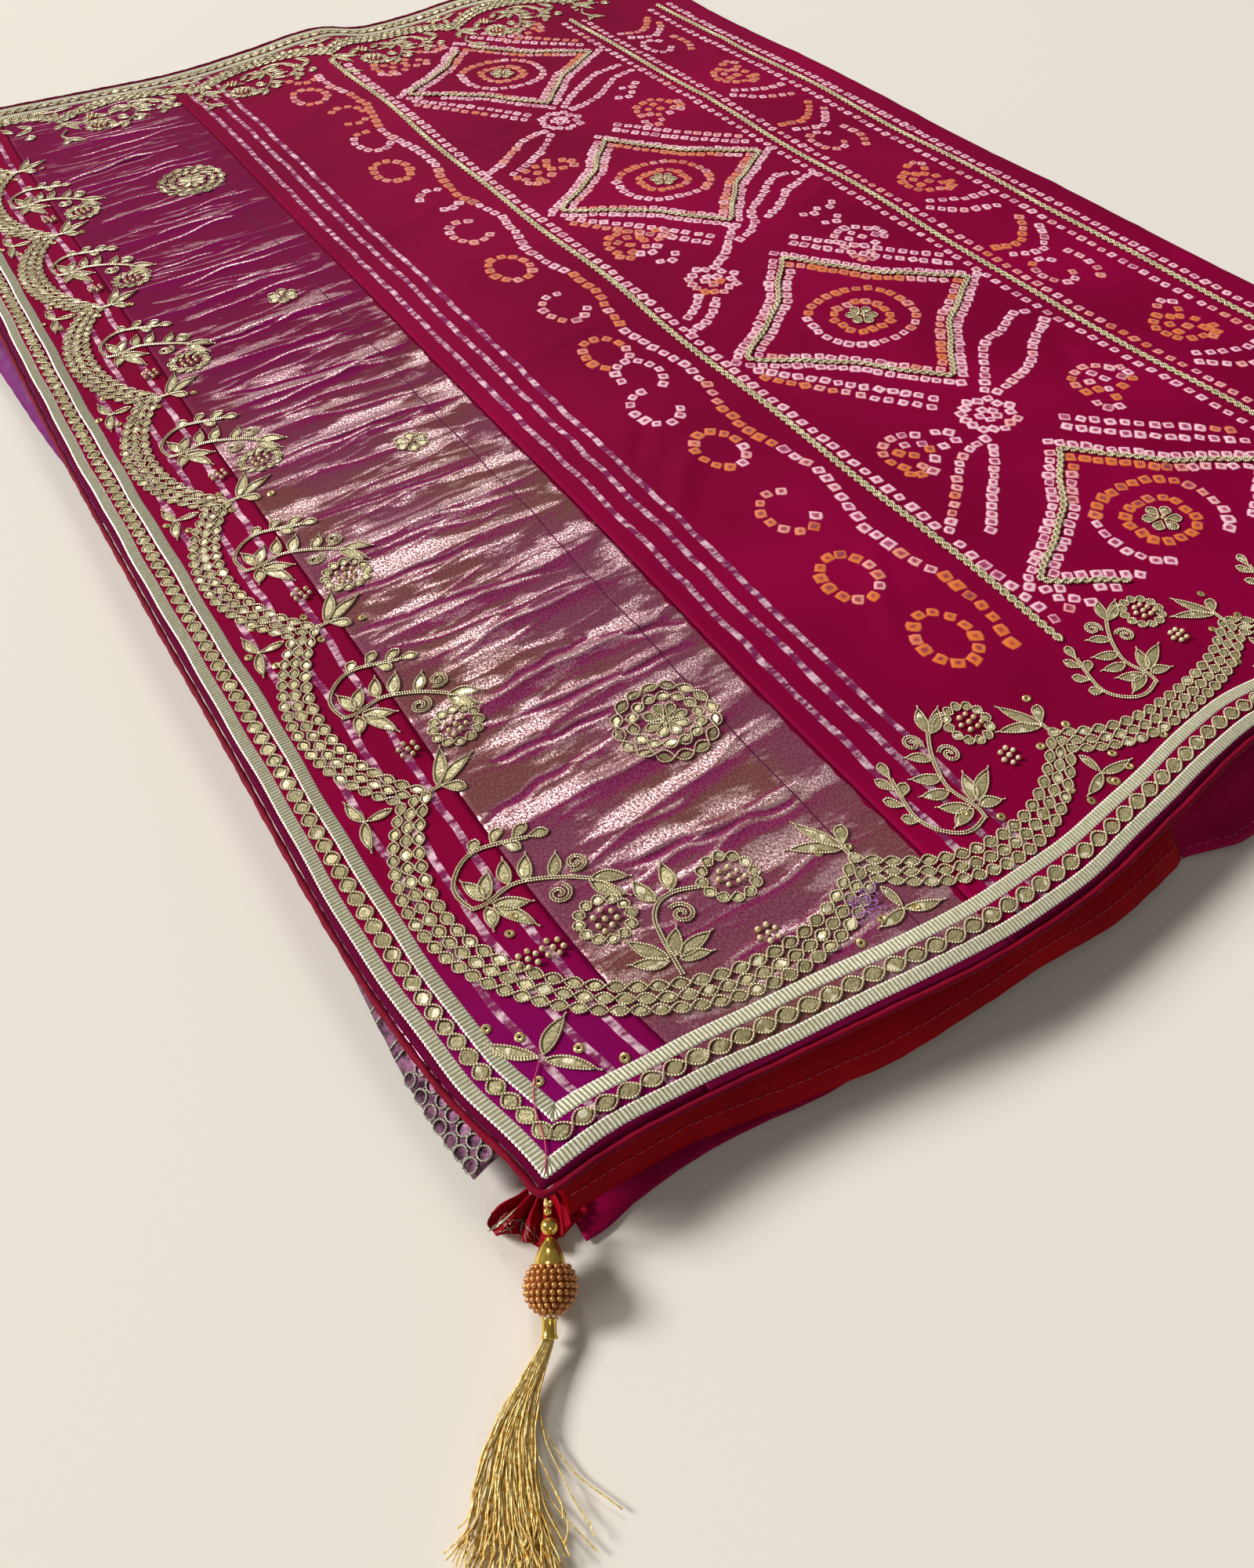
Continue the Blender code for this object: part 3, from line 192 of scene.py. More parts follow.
def tissueWrinkles(u, v):
    inside = (u - saree["stripEnd"]) / (saree["tissueEnd"] - saree["stripEnd"])
    level = np.sin(math.pi * np.clip(inside, 0.0, 1.0)) ** 0.5
    total = np.zeros_like(u)
    for across, rise, lean, half in creases["tissue"]:
        bend = 2.2 * np.sin(inside * 5.0 + across) * mm
        off = np.abs(v - (across + lean * (inside - 0.5)) * mm - bend) / (half * mm)
        crest = np.cos(math.pi * np.minimum(off, 1.6) / 3.2) ** 3
        total += rise * mm * (0.55 * crest + 0.45 * np.exp(-3.2 * off))
    for middle, lean, start, end, rise, half, phase in crushLines:
        bend = 2.4 * np.sin(u / mm / 19.0 + phase) + 1.1 * np.sin(u / mm / 7.3 + 2 * phase)
        off = (v / mm - middle - lean * (inside - 0.5) - bend) / half
        along = np.clip((u / mm - start) / 14.0, 0, 1) * np.clip((end - u / mm) / 14.0, 0, 1)
        total += rise * mm * along * np.exp(-1.35 * np.abs(off) * np.where(off > 0, 1.7, 0.8))
    place, depth, half = creases["pressed"]
    pressed = (u - place - 0.0008 * np.sin(v * 37.0)) / half
    total -= depth * np.exp(-pressed * pressed) * fade(np.abs(v - 0.46), 0.42)
    total -= creaseHeight(u, v, creases["troughs"], 0.8)
    return np.where((inside > 0.0) & (inside < 1.0), total * level, 0.0)


def clothHeight(u, v):
    # height of the cloth's upper face above the floor
    z = np.full_like(u, saree["height"])
    for length, turn, start, height in saree["waves"]:
        phase = (u * math.cos(math.radians(turn)) + v * math.sin(math.radians(turn))) / (length * mm)
        z = z + height * mm * np.sin(2 * math.pi * phase + start)
    for (height, length, start), edge, along in ((saree["hemRipple"], v, u), (saree["endRipple"], u, v)):
        ripple = np.sin(2 * math.pi * along / length + start)
        z = z + height * fade(edge, saree["rippleReach"]) * ripple
        z = z - saree["hemDrop"] * fade(edge + hem, saree["dropReach"])
    z = z + smoothTable(edges["lift"], u / mm) * mm * fade(width - v, edges["liftReach"])
    return z + tissueWrinkles(u, v) + creaseHeight(u, v, creases["field"])


def foldPulls(v, turn):
    total = np.zeros_like(v)
    for across, rise, half in creases["fold"]:
        off = (v / mm - across - 5 * np.sin(turn * 1.4 + across)) / half
        total += rise * mm * np.exp(-off * off)
    return total * np.sin(np.clip(turn, 0, math.pi)) ** 0.8


def onCloth(u, v, lift=0.0):
    # points on the cloth, raised by a lift, and carried round the fold at its end
    u, v = np.broadcast_arrays(np.asarray(u, float), np.asarray(v, float))
    flat = np.minimum(u, foldStart)
    x, y = spread(flat, v)
    turn = np.maximum(u - foldStart, 0.0) / saree["foldRadius"]
    radius = (clothHeight(flat, v) - saree["floorGap"]) / 2
    out = radius + lift + foldPulls(v, turn)
    return np.stack([x + out * np.sin(turn), y, saree["floorGap"] + radius + out * np.cos(turn)], axis=-1)


# Small helpers for meshes, materials and node trees
def fromHex(code):
    values = [int(code[k:k + 2], 16) / 255 for k in (1, 3, 5)]
    return tuple(c / 12.92 if c <= 0.04045 else ((c + 0.055) / 1.055) ** 2.4 for c in values) + (1.0,)


def addNode(tree, kind, values=(), mode=None, out=None, **settings):
    # One node with its operation or data type and settings. The values go to its open inputs in
    # order, or by name, and a socket is linked. Gives the first open output, or the one named.
    made = tree.nodes.new(kind if "Node" in kind else tree.type.title() + "Node" + kind)
    if mode:
        settings["operation" if hasattr(made, "operation") else "data_type"] = mode
    for key, value in settings.items():
        setattr(made, key, value)
    named = isinstance(values, dict)
    sockets = made.inputs if named else [socket for socket in made.inputs if socket.enabled]
    for key, value in values.items() if named else enumerate(values):
        if isinstance(value, bpy.types.NodeSocket):
            tree.links.new(value, sockets[key])
        else:
            isColour = isinstance(value, str) and value.startswith("#")
            sockets[key].default_value = fromHex(value) if isColour else value
    return made.outputs[out] if out else next(socket for socket in made.outputs if socket.enabled)


def newMaterial(name, fixed, draw=None):
    # a Principled material with fixed values, and what its drawn nodes drive
    made = bpy.data.materials.new(name)
    made.use_nodes = True
    tree = made.node_tree
    inputs = tree.nodes["Principled BSDF"].inputs
    for key, value in fixed.items():
        inputs[key].default_value = fromHex(value) if isinstance(value, str) else value
    for key, socket in draw(partial(addNode, tree)).items() if draw else ():
        tree.links.new(socket, inputs[key])
    return made


def addObject(name, data):
    made = bpy.data.objects.new(name, data)
    bpy.context.scene.collection.objects.link(made)
    return made


def newMesh(name, points, faces, material=None, places=None, smooth=True, values=None, edgeList=()):
    # an object from points and faces, with its place on the flat cloth as a UV map if given
    mesh = bpy.data.meshes.new(name)
    mesh.from_pydata(np.asarray(points).reshape(-1, 3).tolist(), list(edgeList), faces)
    if smooth:
        mesh.shade_smooth()
    if places is not None:
        layer = mesh.uv_layers.new(name="cloth")
        corners = np.empty(len(mesh.loops), int)
        mesh.loops.foreach_get("vertex_index", corners)
        layer.data.foreach_set("uv", np.asarray(places, float).reshape(-1, 2)[corners].ravel())
    for key, array in (values or {}).items():
        array = np.asarray(array, float)
        kind, field = ("FLOAT", "value") if array.ndim == 1 else ("FLOAT_VECTOR", "vector")
        mesh.attributes.new(key, kind, "POINT").data.foreach_set(field, array.ravel())
    if material:
        mesh.materials.append(material)
    return addObject(name, mesh)


def loftFaces(rings, size, flip=False, caps=True, loop=False, first=0):
    # faces between rings of points, with a cap at each end
    faces = []
    for r in range(rings if loop else rings - 1):
        n = (r + 1) % rings
        for k in range(size):
            m = (k + 1) % size
            corners = ((r, k), (n, k), (n, m), (r, m)) if flip else ((r, k), (r, m), (n, m), (n, k))
            faces.append(tuple(first + ring * size + place for ring, place in corners))
    if caps:
        low, high = (tuple(range(first + r * size, first + (r + 1) * size)) for r in (0, rings - 1))
        faces += [low, high[::-1]] if flip else [low[::-1], high]
    return faces


def circle(sides, start=0.0):
    turn = start + 2 * np.pi * np.arange(sides) / sides
    return np.cos(turn), np.sin(turn)


def gridShell(name, top, places, wall, material, skip=1, extra=None):
    # a thin closed wall under a grid of points, its underside on every skip-th row
    rows, cols = top.shape[:2]
    normal = unit(np.cross(np.gradient(top, axis=0), np.gradient(top, axis=1)))
    kept = sorted(set(range(0, rows, skip)) | {rows - 1})
    bottom = (top - normal * wall)[kept]
    half, last = rows * cols, (rows + len(kept) - 1) * cols

    def cells(first, count):
        return first + (np.arange(count - 1)[:, None] * cols + np.arange(cols - 1)[None, :]).ravel()
    a, b = cells(0, rows), cells(half, len(kept))
    faces = np.stack([a, a + cols, a + cols + 1, a + 1], axis=1).tolist()
    faces += np.stack([b, b + 1, b + cols + 1, b + cols], axis=1).tolist()
    inner = len(faces)
    for j in range(cols - 1):
        end = (rows - 1) * cols + j
        faces += [(j, j + 1, half + j + 1, half + j), (end + 1, end, last + j, last + j + 1)]
    low = [i * cols for i in range(rows)]
    under = [half + k * cols for k in range(len(kept))]
    faces.append(tuple(reversed(low)) + tuple(under))
    faces.append(tuple(i + cols - 1 for i in low) + tuple(i + cols - 1 for i in reversed(under)))

    def withUnder(grid):
        return np.concatenate([grid, grid[kept]])
    values = {key: withUnder(grid).ravel() for key, grid in (extra or {}).items()}
    made = newMesh(name, np.concatenate([top, bottom]), faces, material, withUnder(places), values=values)
    made.data.polygons.foreach_set("use_smooth", np.arange(len(faces)) < inner)   # crisp cut edges
    return made


def asPlainMesh(name, source, tree, inputs):
    # runs a node tree on an object and keeps the result as a plain mesh
    modifier = source.modifiers.new("nodes", "NODES")
    modifier.node_group = tree
    for item in tree.interface.items_tree:
        if item.item_type == "SOCKET" and item.in_out == "INPUT" and item.name in inputs:
            modifier[item.identifier] = inputs[item.name]
    mesh = bpy.data.meshes.new_from_object(source.evaluated_get(bpy.context.evaluated_depsgraph_get()))
    bpy.data.objects.remove(source, do_unlink=True)
    mesh.name = name
    return addObject(name, mesh)


def newTree(name, sockets, draw):
    # a geometry tree: its named inputs, the drawn nodes, and the ending that every tree here has
    tree = bpy.data.node_groups.new(name, "GeometryNodeTree")
    sockets = [("Geometry", "Geometry", None)] + sockets + [("Material", "Material", None)]
    for label, kind, value in sockets:
        made = tree.interface.new_socket(label, in_out="INPUT", socket_type="NodeSocket" + kind)
        if value is not None:
            made.default_value = value
    tree.interface.new_socket("Geometry", in_out="OUTPUT", socket_type="NodeSocketGeometry")
    out = tree.nodes.new("NodeGroupInput").outputs
    drawn = draw(partial(addNode, tree), out)
    real = addNode(tree, "RealizeInstances", {"Geometry": drawn})
    coloured = addNode(tree, "SetMaterial", {"Geometry": real, "Material": out["Material"]})
    tree.links.new(coloured, tree.nodes.new("NodeGroupOutput").inputs["Geometry"])
    return tree


def drawCord(add, out):
    # a round cord along every line of a wire mesh, which notes the length along it
    line = add("MeshToCurve", {"Mesh": out["Geometry"]})
    length = add("SplineParameter", out="Length")
    noted = add("StoreNamedAttribute", {"Name": "along", "Geometry": line, "Value": length}, "FLOAT")
    ring = add("CurvePrimitiveCircle", {"Resolution": out["Sides"], "Radius": out["Radius"]})
    return add("CurveToMesh", {"Fill Caps": True, "Curve": noted, "Profile Curve": ring})


def drawScatter(add, out):
    # one small shape on every point, turned to the point's own up and ahead directions
    up, ahead, size = (add("InputNamedAttribute", {"Name": label}, "FLOAT_VECTOR")
                       for label in ("up", "ahead", "size"))
    turned = add("FunctionNodeAxesToRotation", {"Primary Axis": up, "Secondary Axis": ahead},
                 primary_axis="Z", secondary_axis="X")
    shape = add("ObjectInfo", {"As Instance": True, "Object": out["Shape"]}, out="Geometry")
    return add("InstanceOnPoints", {"Points": out["Geometry"], "Instance": shape, "Rotation": turned,
                                    "Scale": size})


cordTree = newTree("cord along lines", [("Radius", "Float", 0.0005), ("Sides", "Int", 4)], drawCord)
scatterTree = newTree("shape on points", [("Shape", "Object", None)], drawScatter)


def cords(name, lines, radius, sides, material):
    # round cords along lists of points
    starts = np.cumsum([0] + [len(line) for line in lines])
    pairs = [(first + k, first + k + 1) for first, line in zip(starts, lines) for k in range(len(line) - 1)]
    wire = newMesh(name + "Wire", np.concatenate([np.asarray(line) for line in lines]), [], smooth=False,
                   edgeList=[(int(a), int(b)) for a, b in pairs])
    made = asPlainMesh(name, wire, cordTree, {"Radius": radius, "Sides": sides, "Material": material})
    made.data.shade_smooth()
    return made


def scatter(name, shape, points, up, ahead, size, material, smooth=False):
    # copies of one small shape on points
    seeds = newMesh(name + "Points", points, [], smooth=False,
                    values={"up": up, "ahead": ahead, "size": size})
    made = asPlainMesh(name, seeds, scatterTree, {"Shape": shape, "Material": material})
    if smooth:
        made.data.shade_smooth()
    return made


def joined(name, objects):
    # several meshes made one piece, each keeping its own material
    with bpy.context.temp_override(active_object=objects[0], selected_editable_objects=objects):
        bpy.ops.object.join()
    objects[0].name = objects[0].data.name = name
    return objects[0]


def finishPiece(piece, *nodes):
    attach(piece, "root")
    if nodes:
        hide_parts(*nodes)
    return piece


def clothFrame(u, v, du, dv, lift):
    # place, up and ahead directions of small things lying on the cloth
    step = 0.0006
    size = np.maximum(np.hypot(du, dv), 1e-9)
    du, dv = du / size, dv / size
    here = onCloth(u, v, lift)
    ahead = onCloth(u + du * step, v + dv * step, lift) - here
    side = onCloth(u - dv * step, v + du * step, lift) - here
    return here, unit(np.cross(ahead, side)), ahead


# Camera at the photo's place, plain floor and soft lights
camera = {"place": (-0.4395, -0.703, 0.455), "yaw": 32.3, "pitch": 51.5, "roll": -0.63, "lens": 26.0}
studio = {
    "floor": "#e7e0d5", "floorHalf": 7.0, "world": "#efeae0", "worldStrength": 0.15,
    "lights": [("key from upper left", (-15.6, 13.5, 12.6), 6.9, 7600),      # place, size and power
               ("window box", (4.44, 12.6, 11.4), 4.2, 830),
               ("front fill", (-2.7, -10.2, 8.7), 5.4, 160)],
}


def makeCamera():
    data = bpy.data.cameras.new("camera")
    data.lens = camera["lens"]
    data.clip_start = 0.01
    made = addObject("camera", data)
    yaw, pitch, roll = (math.radians(camera[k]) for k in ("yaw", "pitch", "roll"))
    ahead = Vector((math.cos(pitch) * math.sin(yaw), math.cos(pitch) * math.cos(yaw), -math.sin(pitch)))
    right = Vector((math.cos(yaw), -math.sin(yaw), 0.0))
    up = right.cross(ahead)
    turned = Matrix((right * math.cos(roll) + up * math.sin(roll),
                     up * math.cos(roll) - right * math.sin(roll), -ahead)).transposed().to_4x4()
    turned.translation = camera["place"]
    made.matrix_world = turned
    bpy.context.scene.camera = made


def makeFloorAndLights():
    half = studio["floorHalf"]
    paper = newMaterial("plain pale paper", {
        "Base Color": studio["floor"], "Roughness": 0.95, "Specular IOR Level": 0.05})
    newMesh("floor", [(-half, -half, 0), (half, -half, 0), (half, half, 0), (-half, half, 0)],
                     [(0, 1, 2, 3)], paper, smooth=False)
    for name, place, size, power in studio["lights"]:
        data = bpy.data.lights.new(name, "AREA")
        data.size, data.energy = size, power
        lamp = addObject(name, data)
        lamp.location = place
        lamp.rotation_mode = "QUATERNION"
        lamp.rotation_quaternion = (-Vector(place)).to_track_quat("-Z", "Y")
    world = bpy.data.worlds.new("soft room")
    world.use_nodes = True
    inputs = world.node_tree.nodes["Background"].inputs
    inputs["Color"].default_value = fromHex(studio["world"])
    inputs["Strength"].default_value = studio["worldStrength"]
    bpy.context.scene.world = world
    bpy.context.scene.view_settings.view_transform = "Standard"


makeCamera()
makeFloorAndLights()


# In the materials a noise is given its place, scale, detail and roughness in that order, and a
# map range its value, the two ends it comes from and the two it goes to.
# Georgette: crepe-twisted yarn, tie-dyed. The eye gets a matt wine cloth with a fine pebbled
# grain, a painted violet sheen at its near corner, and bands of woven zari with painted glints.
def georgette(name, look):
    def draw(add):
        place = add("UVMap", out="UV", uv_map="cloth")
        patches = add("TexNoise", [place, 7.0, 2.0])
        spreadOut = add("MapRange", [patches, 0.38, 0.66])
        ground = add("Mix", [spreadOut, look["deep"], look["bright"]], "RGBA")
        # painted sheen: the cloth is painted violet towards its near corner
        corner = add("VectorMath", [place, (0.012, 0.03, 0.0)], "DISTANCE")
        near = add("MapRange", [corner, 0.02, 0.105, 0.6, 0.0])
        paintedSheen = add("Mix", [near, ground, look["violet"]], "RGBA")
        x = add("SeparateXYZ", [place], out="X")
        y = add("SeparateXYZ", [place], out="Y")
        wobble = add("TexNoise", [place, 30.0, 2.0])
        shifted = add("Math", [wobble, 0.0052, x], "MULTIPLY_ADD")
        first, second, third = (
            add("Math", [shifted, (band + 2.6) * mm, look["bandHalf"] * mm], "COMPARE")
            for band in look["bands"])
        two = add("Math", [first, second], "ADD")
        three = add("Math", [two, third], "ADD")
        inHem = add("Math", [y, width / 2, width / 2], "COMPARE")
        bands = add("Math", [three, inHem], "MULTIPLY")
        # painted glints: the bright patches of the zari bands
        stretch = add("VectorMath", [place, (60.0, 130.0, 1.0)], "MULTIPLY")
        glint = add("TexNoise", [stretch, 1.0, 4.0, 0.7])
        shine = add("MapRange", [glint, 0.46, 0.60])
        zari = add("Mix", [shine, "#842858", "#e6c2cc"], "RGBA")
        both = add("Mix", [bands, paintedSheen, zari], "RGBA")
        past = add("Math", [x, 0.0], "GREATER_THAN")
        inside = add("Math", [past, inHem], "MULTIPLY")
        # crepe yarns are 0.3 mm apart, too fine to show, so the grain is drawn at about 1 mm
        grain = add("TexNoise", [place, 1000.0, 2.0])
        return {"Base Color": add("Mix", [inside, "#5e042c", both], "RGBA"),
                "Metallic": add("Math", [bands, 0.5], "MULTIPLY"),
                "Normal": add("Bump", {"Strength": 0.22, "Distance": 0.0004, "Height": grain})}
    return newMaterial(name, {"Roughness": 0.62, "Sheen Weight": 0.02, "Sheen Roughness": 0.3,
                              "Sheen Tint": "#e0108a", "Specular IOR Level": 0.02}, draw)


# Zari tissue: silk warp with a flat metal weft, crushed. The eye gets a mauve metal cloth with
# painted pink-white glints along the wrinkles and painted violet shade between them.
def drawTissue(add):
    place = add("UVMap", out="UV", uv_map="cloth")
    x = add("SeparateXYZ", [place], out="X")
    y = add("SeparateXYZ", [place], out="Y")
    stretch = add("VectorMath", [place, (980.0, 680.0, 1.0)], "MULTIPLY")
    grain = add("TexNoise", [stretch, 1.0, 3.0, 0.75])
    thread = add("MapRange", [grain, 0.44, 0.58, 0.12])
    # painted glints: the wrinkles' sides turned to the light and broad patches are painted bright, with more
    # metal
    crushed = add("VectorMath", [place, (20.0, 56.0, 1.0)], "MULTIPLY")
    patches = add("TexNoise", [crushed, 1.0, 4.0, 0.6])
    slope = add("Attribute", out="Fac", attribute_name="slope")
    crest = add("Attribute", out="Fac", attribute_name="crest")
    back = add("MapRange", [slope, 0.12, -0.18, -1.0, 0.55])
    glintPatches = add("MapRange", [patches, 0.45, 0.60, 0.1, 1.45])
    # painted light: the middle of the panel is painted brightest, its ends dark between the crests
    far = add("MapRange", [y, 0.52, 0.74, 0.0, -1.0])
    near = add("MapRange", [y, 0.04, 0.22, -0.3, 0.0])
    level = add("Math", [back, glintPatches], "ADD")
    ends = add("Math", [far, near], "ADD")
    paintedLight = add("Math", [level, ends], "ADD")
    # painted shade: the hollows between the crests are painted darker
    hollow = add("MapRange", [crest, -0.09, -0.26])
    flatPart = add("Math", [paintedLight, hollow], "SUBTRACT")
    # painted glints: thin bright lines along the crests, broken in places
    broken = add("MapRange", [patches, 0.36, 0.56, 0.25])
    crestGlint = add("MapRange", [crest, 0.10, 0.28, 0.0, 1.3])
    lines = add("Math", [crestGlint, broken], "MULTIPLY")
    both = add("Math", [flatPart, lines], "MAXIMUM")
    # the panel's edge by the field waves in and out, where the crush draws it in
    wave = add("TexNoise", [place, 60.0, 2.0])
    edge = add("Math", [wave, 0.007, x], "MULTIPLY_ADD")
    plain = add("Math", [edge, 0.2192], "GREATER_THAN")
    # painted sheen: the near half of the panel is painted with a little of it everywhere
    sheenFloor = add("MapRange", [y, 0.36, 0.58, 0.10, 0.0])
    least = add("Math", [both, sheenFloor], "MAXIMUM")
    opened = add("Math", [least, plain], "SUBTRACT", use_clamp=True)
    share = add("Math", [opened, thread], "MULTIPLY")
    cloudy = add("TexNoise", [place, 13.0, 2.0])
    tone = add("MapRange", [cloudy, 0.42, 0.58])
    mauve = add("Mix", [tone, "#6e2844", "#6a3430"], "RGBA")
    # painted shade: the tissue is painted darker and more violet towards the far end
    distant = add("MapRange", [y, 0.42, 0.68])
    dark = add("Mix", [distant, mauve, "#74103e"], "RGBA")
    # painted shade: violet on the wrinkles' sides turned from the light and in the hollows
    front = add("MapRange", [slope, 0.05, 0.16])
    shaded = add("Math", [front, hollow], "MAXIMUM")
    violet = add("Mix", [shaded, dark, "#80064e"], "RGBA")
    wine = add("Mix", [plain, violet, "#7e0232"], "RGBA")
    # the pink-white colour of the painted glints
    glinted = add("Mix", [share, wine, "#ecc6c6"], "RGBA")
    # one fold line is pressed across the panel's length, with painted shade along it
    sway = add("TexNoise", [place, 16.0, 2.0])
    swayed = add("Math", [sway, 0.006, x], "MULTIPLY_ADD")
    pressed = add("Math", [swayed, 0.1935, 0.0005], "COMPARE")
    lined = add("Mix", [pressed, glinted, "#5e2440"], "RGBA")
    # the cloth past the gota is the plain wine hem
    inHem = add("Math", [y, width / 2, width / 2], "COMPARE")
    metal = add("MapRange", [share, 0.0, 1.0, 0.04, 0.9])
    return {"Base Color": add("Mix", [inHem, "#5e042c", lined], "RGBA"),
            "Metallic": add("Math", [metal, inHem], "MULTIPLY"),
            "Roughness": add("MapRange", [share, 0.0, 0.6, 0.70, 0.22]),
            "Normal": add("Bump", {"Strength": 0.6, "Distance": 0.0004, "Height": grain})}


# Plain satin-faced lining, under layers and thread: dyed, close woven, softly shining
def plainCloth(name, colour, shade, roughness, band=None):
    def draw(add):
        place = add("TexCoord", out="Object")
        patches = add("TexNoise", [place, 34.0, 2.0])
        ground = add("Mix", [patches, shade, colour], "RGBA")
        if band:
            # a turned hem of a darker colour along the outer edge
            y = add("SeparateXYZ", [add("UVMap", out="UV", uv_map="cloth")], out="Y")
            ground = add("Mix", [add("MapRange", [y, 0.0232, 0.0248]), ground, band], "RGBA")
        grain = add("TexNoise", [place, 1100.0, 1.0])
        return {"Base Color": ground,
                "Normal": add("Bump", {"Strength": 0.25, "Distance": 0.0003, "Height": grain})}
    return newMaterial(name, {"Roughness": roughness, "Sheen Weight": 0.12, "Sheen Roughness": 0.4,
                              "Sheen Tint": colour, "Specular IOR Level": 0.08}, draw)


# Metallic trims: rolled foil ribbon, twisted foil cord and spun brass, each with its own grit and
# with painted shade in a cord's twist or a ribbon's rib valleys, or painted plate glints. Twist in mm.
def metallic(name, colour, shade, metal, rough, grit, bump, coat=0.0, spark=None, twist=None, gap=None,
             valleyShade=None):
    def draw(add):
        place = add("TexCoord", out="Object")
        height = add("TexNoise", [place, 1000.0 / grit, 2.0])
        mixed = add("Mix", [add("MapRange", [height, 0.35, 0.65]), shade, colour], "RGBA")
        if spark:
            # painted glints: here and there a plate is painted bright
            smooth = add("TexNoise", [place, 190.0, 0.0])
            mixed = add("Mix", [add("MapRange", [smooth, 0.64, 0.70]), mixed, spark], "RGBA")
        if twist:
            # painted shade: the grooves of the twist are painted in the gap colour
            along = add("Attribute", out="Fac", attribute_name="along")
            wave = add("Math", [along, 2000 * math.pi / twist], "MULTIPLY")
            height = add("Math", [wave], "SINE")
            dark = add("MapRange", [height, -1.0, -0.2, 0.65, 0.0])
            mixed = add("Mix", [dark, mixed, gap], "RGBA")
        if valleyShade:
            # painted shade: the valleys between the ribs are painted darker
            rib = add("Attribute", out="Fac", attribute_name="rib")
            mixed = add("Mix", [rib, valleyShade, mixed], "RGBA")
        return {"Base Color": mixed,
                "Normal": add("Bump", {"Strength": bump, "Distance": 0.0003, "Height": height})}
    return newMaterial(name, {"Metallic": metal, "Roughness": rough, "Coat Weight": coat}, draw)


# Resist-dyed dots: cloth that was tied off, so it stays pale, with a dark speck where the
# thread's knot let the dye in and a blurred pink rim
def drawDots(add):
    zone = add("Attribute", out="Fac", attribute_name="zone")
    tint = add("Attribute", out="Fac", attribute_name="tint")
    pale = add("Mix", [tint, "#eec8cb", "#de6c00"], "RGBA")
    cloudy = add("TexNoise", [add("TexCoord", out="Object"), 420.0, 2.0])
    blurred = add("Math", [cloudy, 0.9, -0.45], "MULTIPLY_ADD")
    level = add("Math", [zone, blurred], "ADD", use_clamp=True)
    rim = add("MapRange", [level, 0.05, 0.45])
    warm = add("Mix", [tint, "#d4588c", "#c4500c"], "RGBA")
    first = add("Mix", [rim, "#800238", warm], "RGBA")
    body = add("MapRange", [level, 0.40, 0.75])
    return {"Base Color": add("Mix", [body, first, pale], "RGBA"),
            "Normal": add("Bump", {"Strength": 0.3, "Distance": 0.0003, "Height": cloudy})}


# Zari bands of the strip and the field: middles and half width in mm along the cloth; violet is the colour of
# the painted sheen at the near corner
bandLooks = {
    "strip": {"deep": "#7c022e", "bright": "#880236", "violet": "#7c0a66", "bands": (31, 47, 62),
        "bandHalf": 1.7},
    "field": {"deep": "#7a0230", "bright": "#8a0238", "violet": "#7c0a66", "bands": (232.5, 247.8, 260.8),
        "bandHalf": 2.0},
}
stripGeorgette = georgette("wine georgette with three zari bands", bandLooks["strip"])
fieldGeorgette = georgette("wine georgette of the tied field", bandLooks["field"])
tissue = newMaterial("crushed zari tissue", {"Specular IOR Level": 0.03}, drawTissue)
dyedDots = newMaterial("tied and resist-dyed dots", {"Roughness": 0.62, "Sheen Weight": 0.2}, drawDots)
# plain cloths and threads: colour, shade and roughness
redLining = plainCloth("deep red velvet lining", "#b4000e", "#7c0012", 0.6, "#7a001c")
redEdge = plainCloth("dark red rolled edge", "#8a0226", "#58011a", 0.6)
crimsonLining = plainCloth("crimson gathered lining", "#a4001a", "#5c0010", 0.6)
pinkSatin = plainCloth("magenta satin", "#b0034c", "#860238", 0.5)
violetSatin = plainCloth("violet satin", "#7e0a72", "#5a0650", 0.45)
stackCloth = plainCloth("folded georgette plies", "#a0044e", "#74023c", 0.6)
orangeCore = plainCloth("orange thread-wound core", "#8f4c1c", "#6c3812", 0.6)
violetThread = plainCloth("violet silk thread", "#cc8ed0", "#9a4ca4", 0.5)
pinkThread = plainCloth("pink sewing thread", "#d8607a", "#b84860", 0.6)
# metals: colour, shade, share of metal, roughness, grit in mm and bump
gotaPlate = metallic("gota foil, woven and folded", "#c4b88c", "#968a60", 0.4, 0.36, 1.3, 0.6,
                     spark="#f6ecc8")
gotaRibbon = metallic("ribbed gota ribbon", "#e8e3ce", "#cbc6a8", 0.4, 0.44, 2.2, 0.2, valleyShade="#a5a07e")
picotThread = metallic("pale metal picot edge", "#fbf8ea", "#dcd8ba", 0.4, 0.4, 0.9, 0.5)
zariCord = metallic("twisted zari cord", "#fbf0cf", "#e2cf9f", 0.4, 0.3, 1.0, 0.9, twist=1.3, gap="#86693c")
silverCord = metallic("silver gimp cord", "#eeead8", "#a8a28c", 0.6, 0.25, 0.8, 0.6, twist=1.1, gap="#40303a")
goldThread = metallic("gold metallic thread", "#ffe79c", "#dba640", 0.25, 0.3, 1.5, 0.9)
brass = metallic("spun and polished brass", "#f2cd66", "#e4ba52", 0.82, 0.14, 4.0, 0.05)
pearl = metallic("champagne glass pearl", "#f2e0b6", "#dcbc86", 0.3, 0.16, 5.0, 0.0, coat=0.9)
copperBead = metallic("copper lustre bead", "#d08c46", "#b26e30", 0.5, 0.2, 4.0, 0.0, coat=0.7)
sequinFoil = metallic("matt gold sequin", "#d9c48c", "#bfa565", 0.6, 0.3, 3.0, 0.05)
lowerTissue = metallic("violet zari tissue of a lower layer", "#9c6684", "#2c0420", 0.55, 0.3, 4.0, 0.7)
print("materials made")


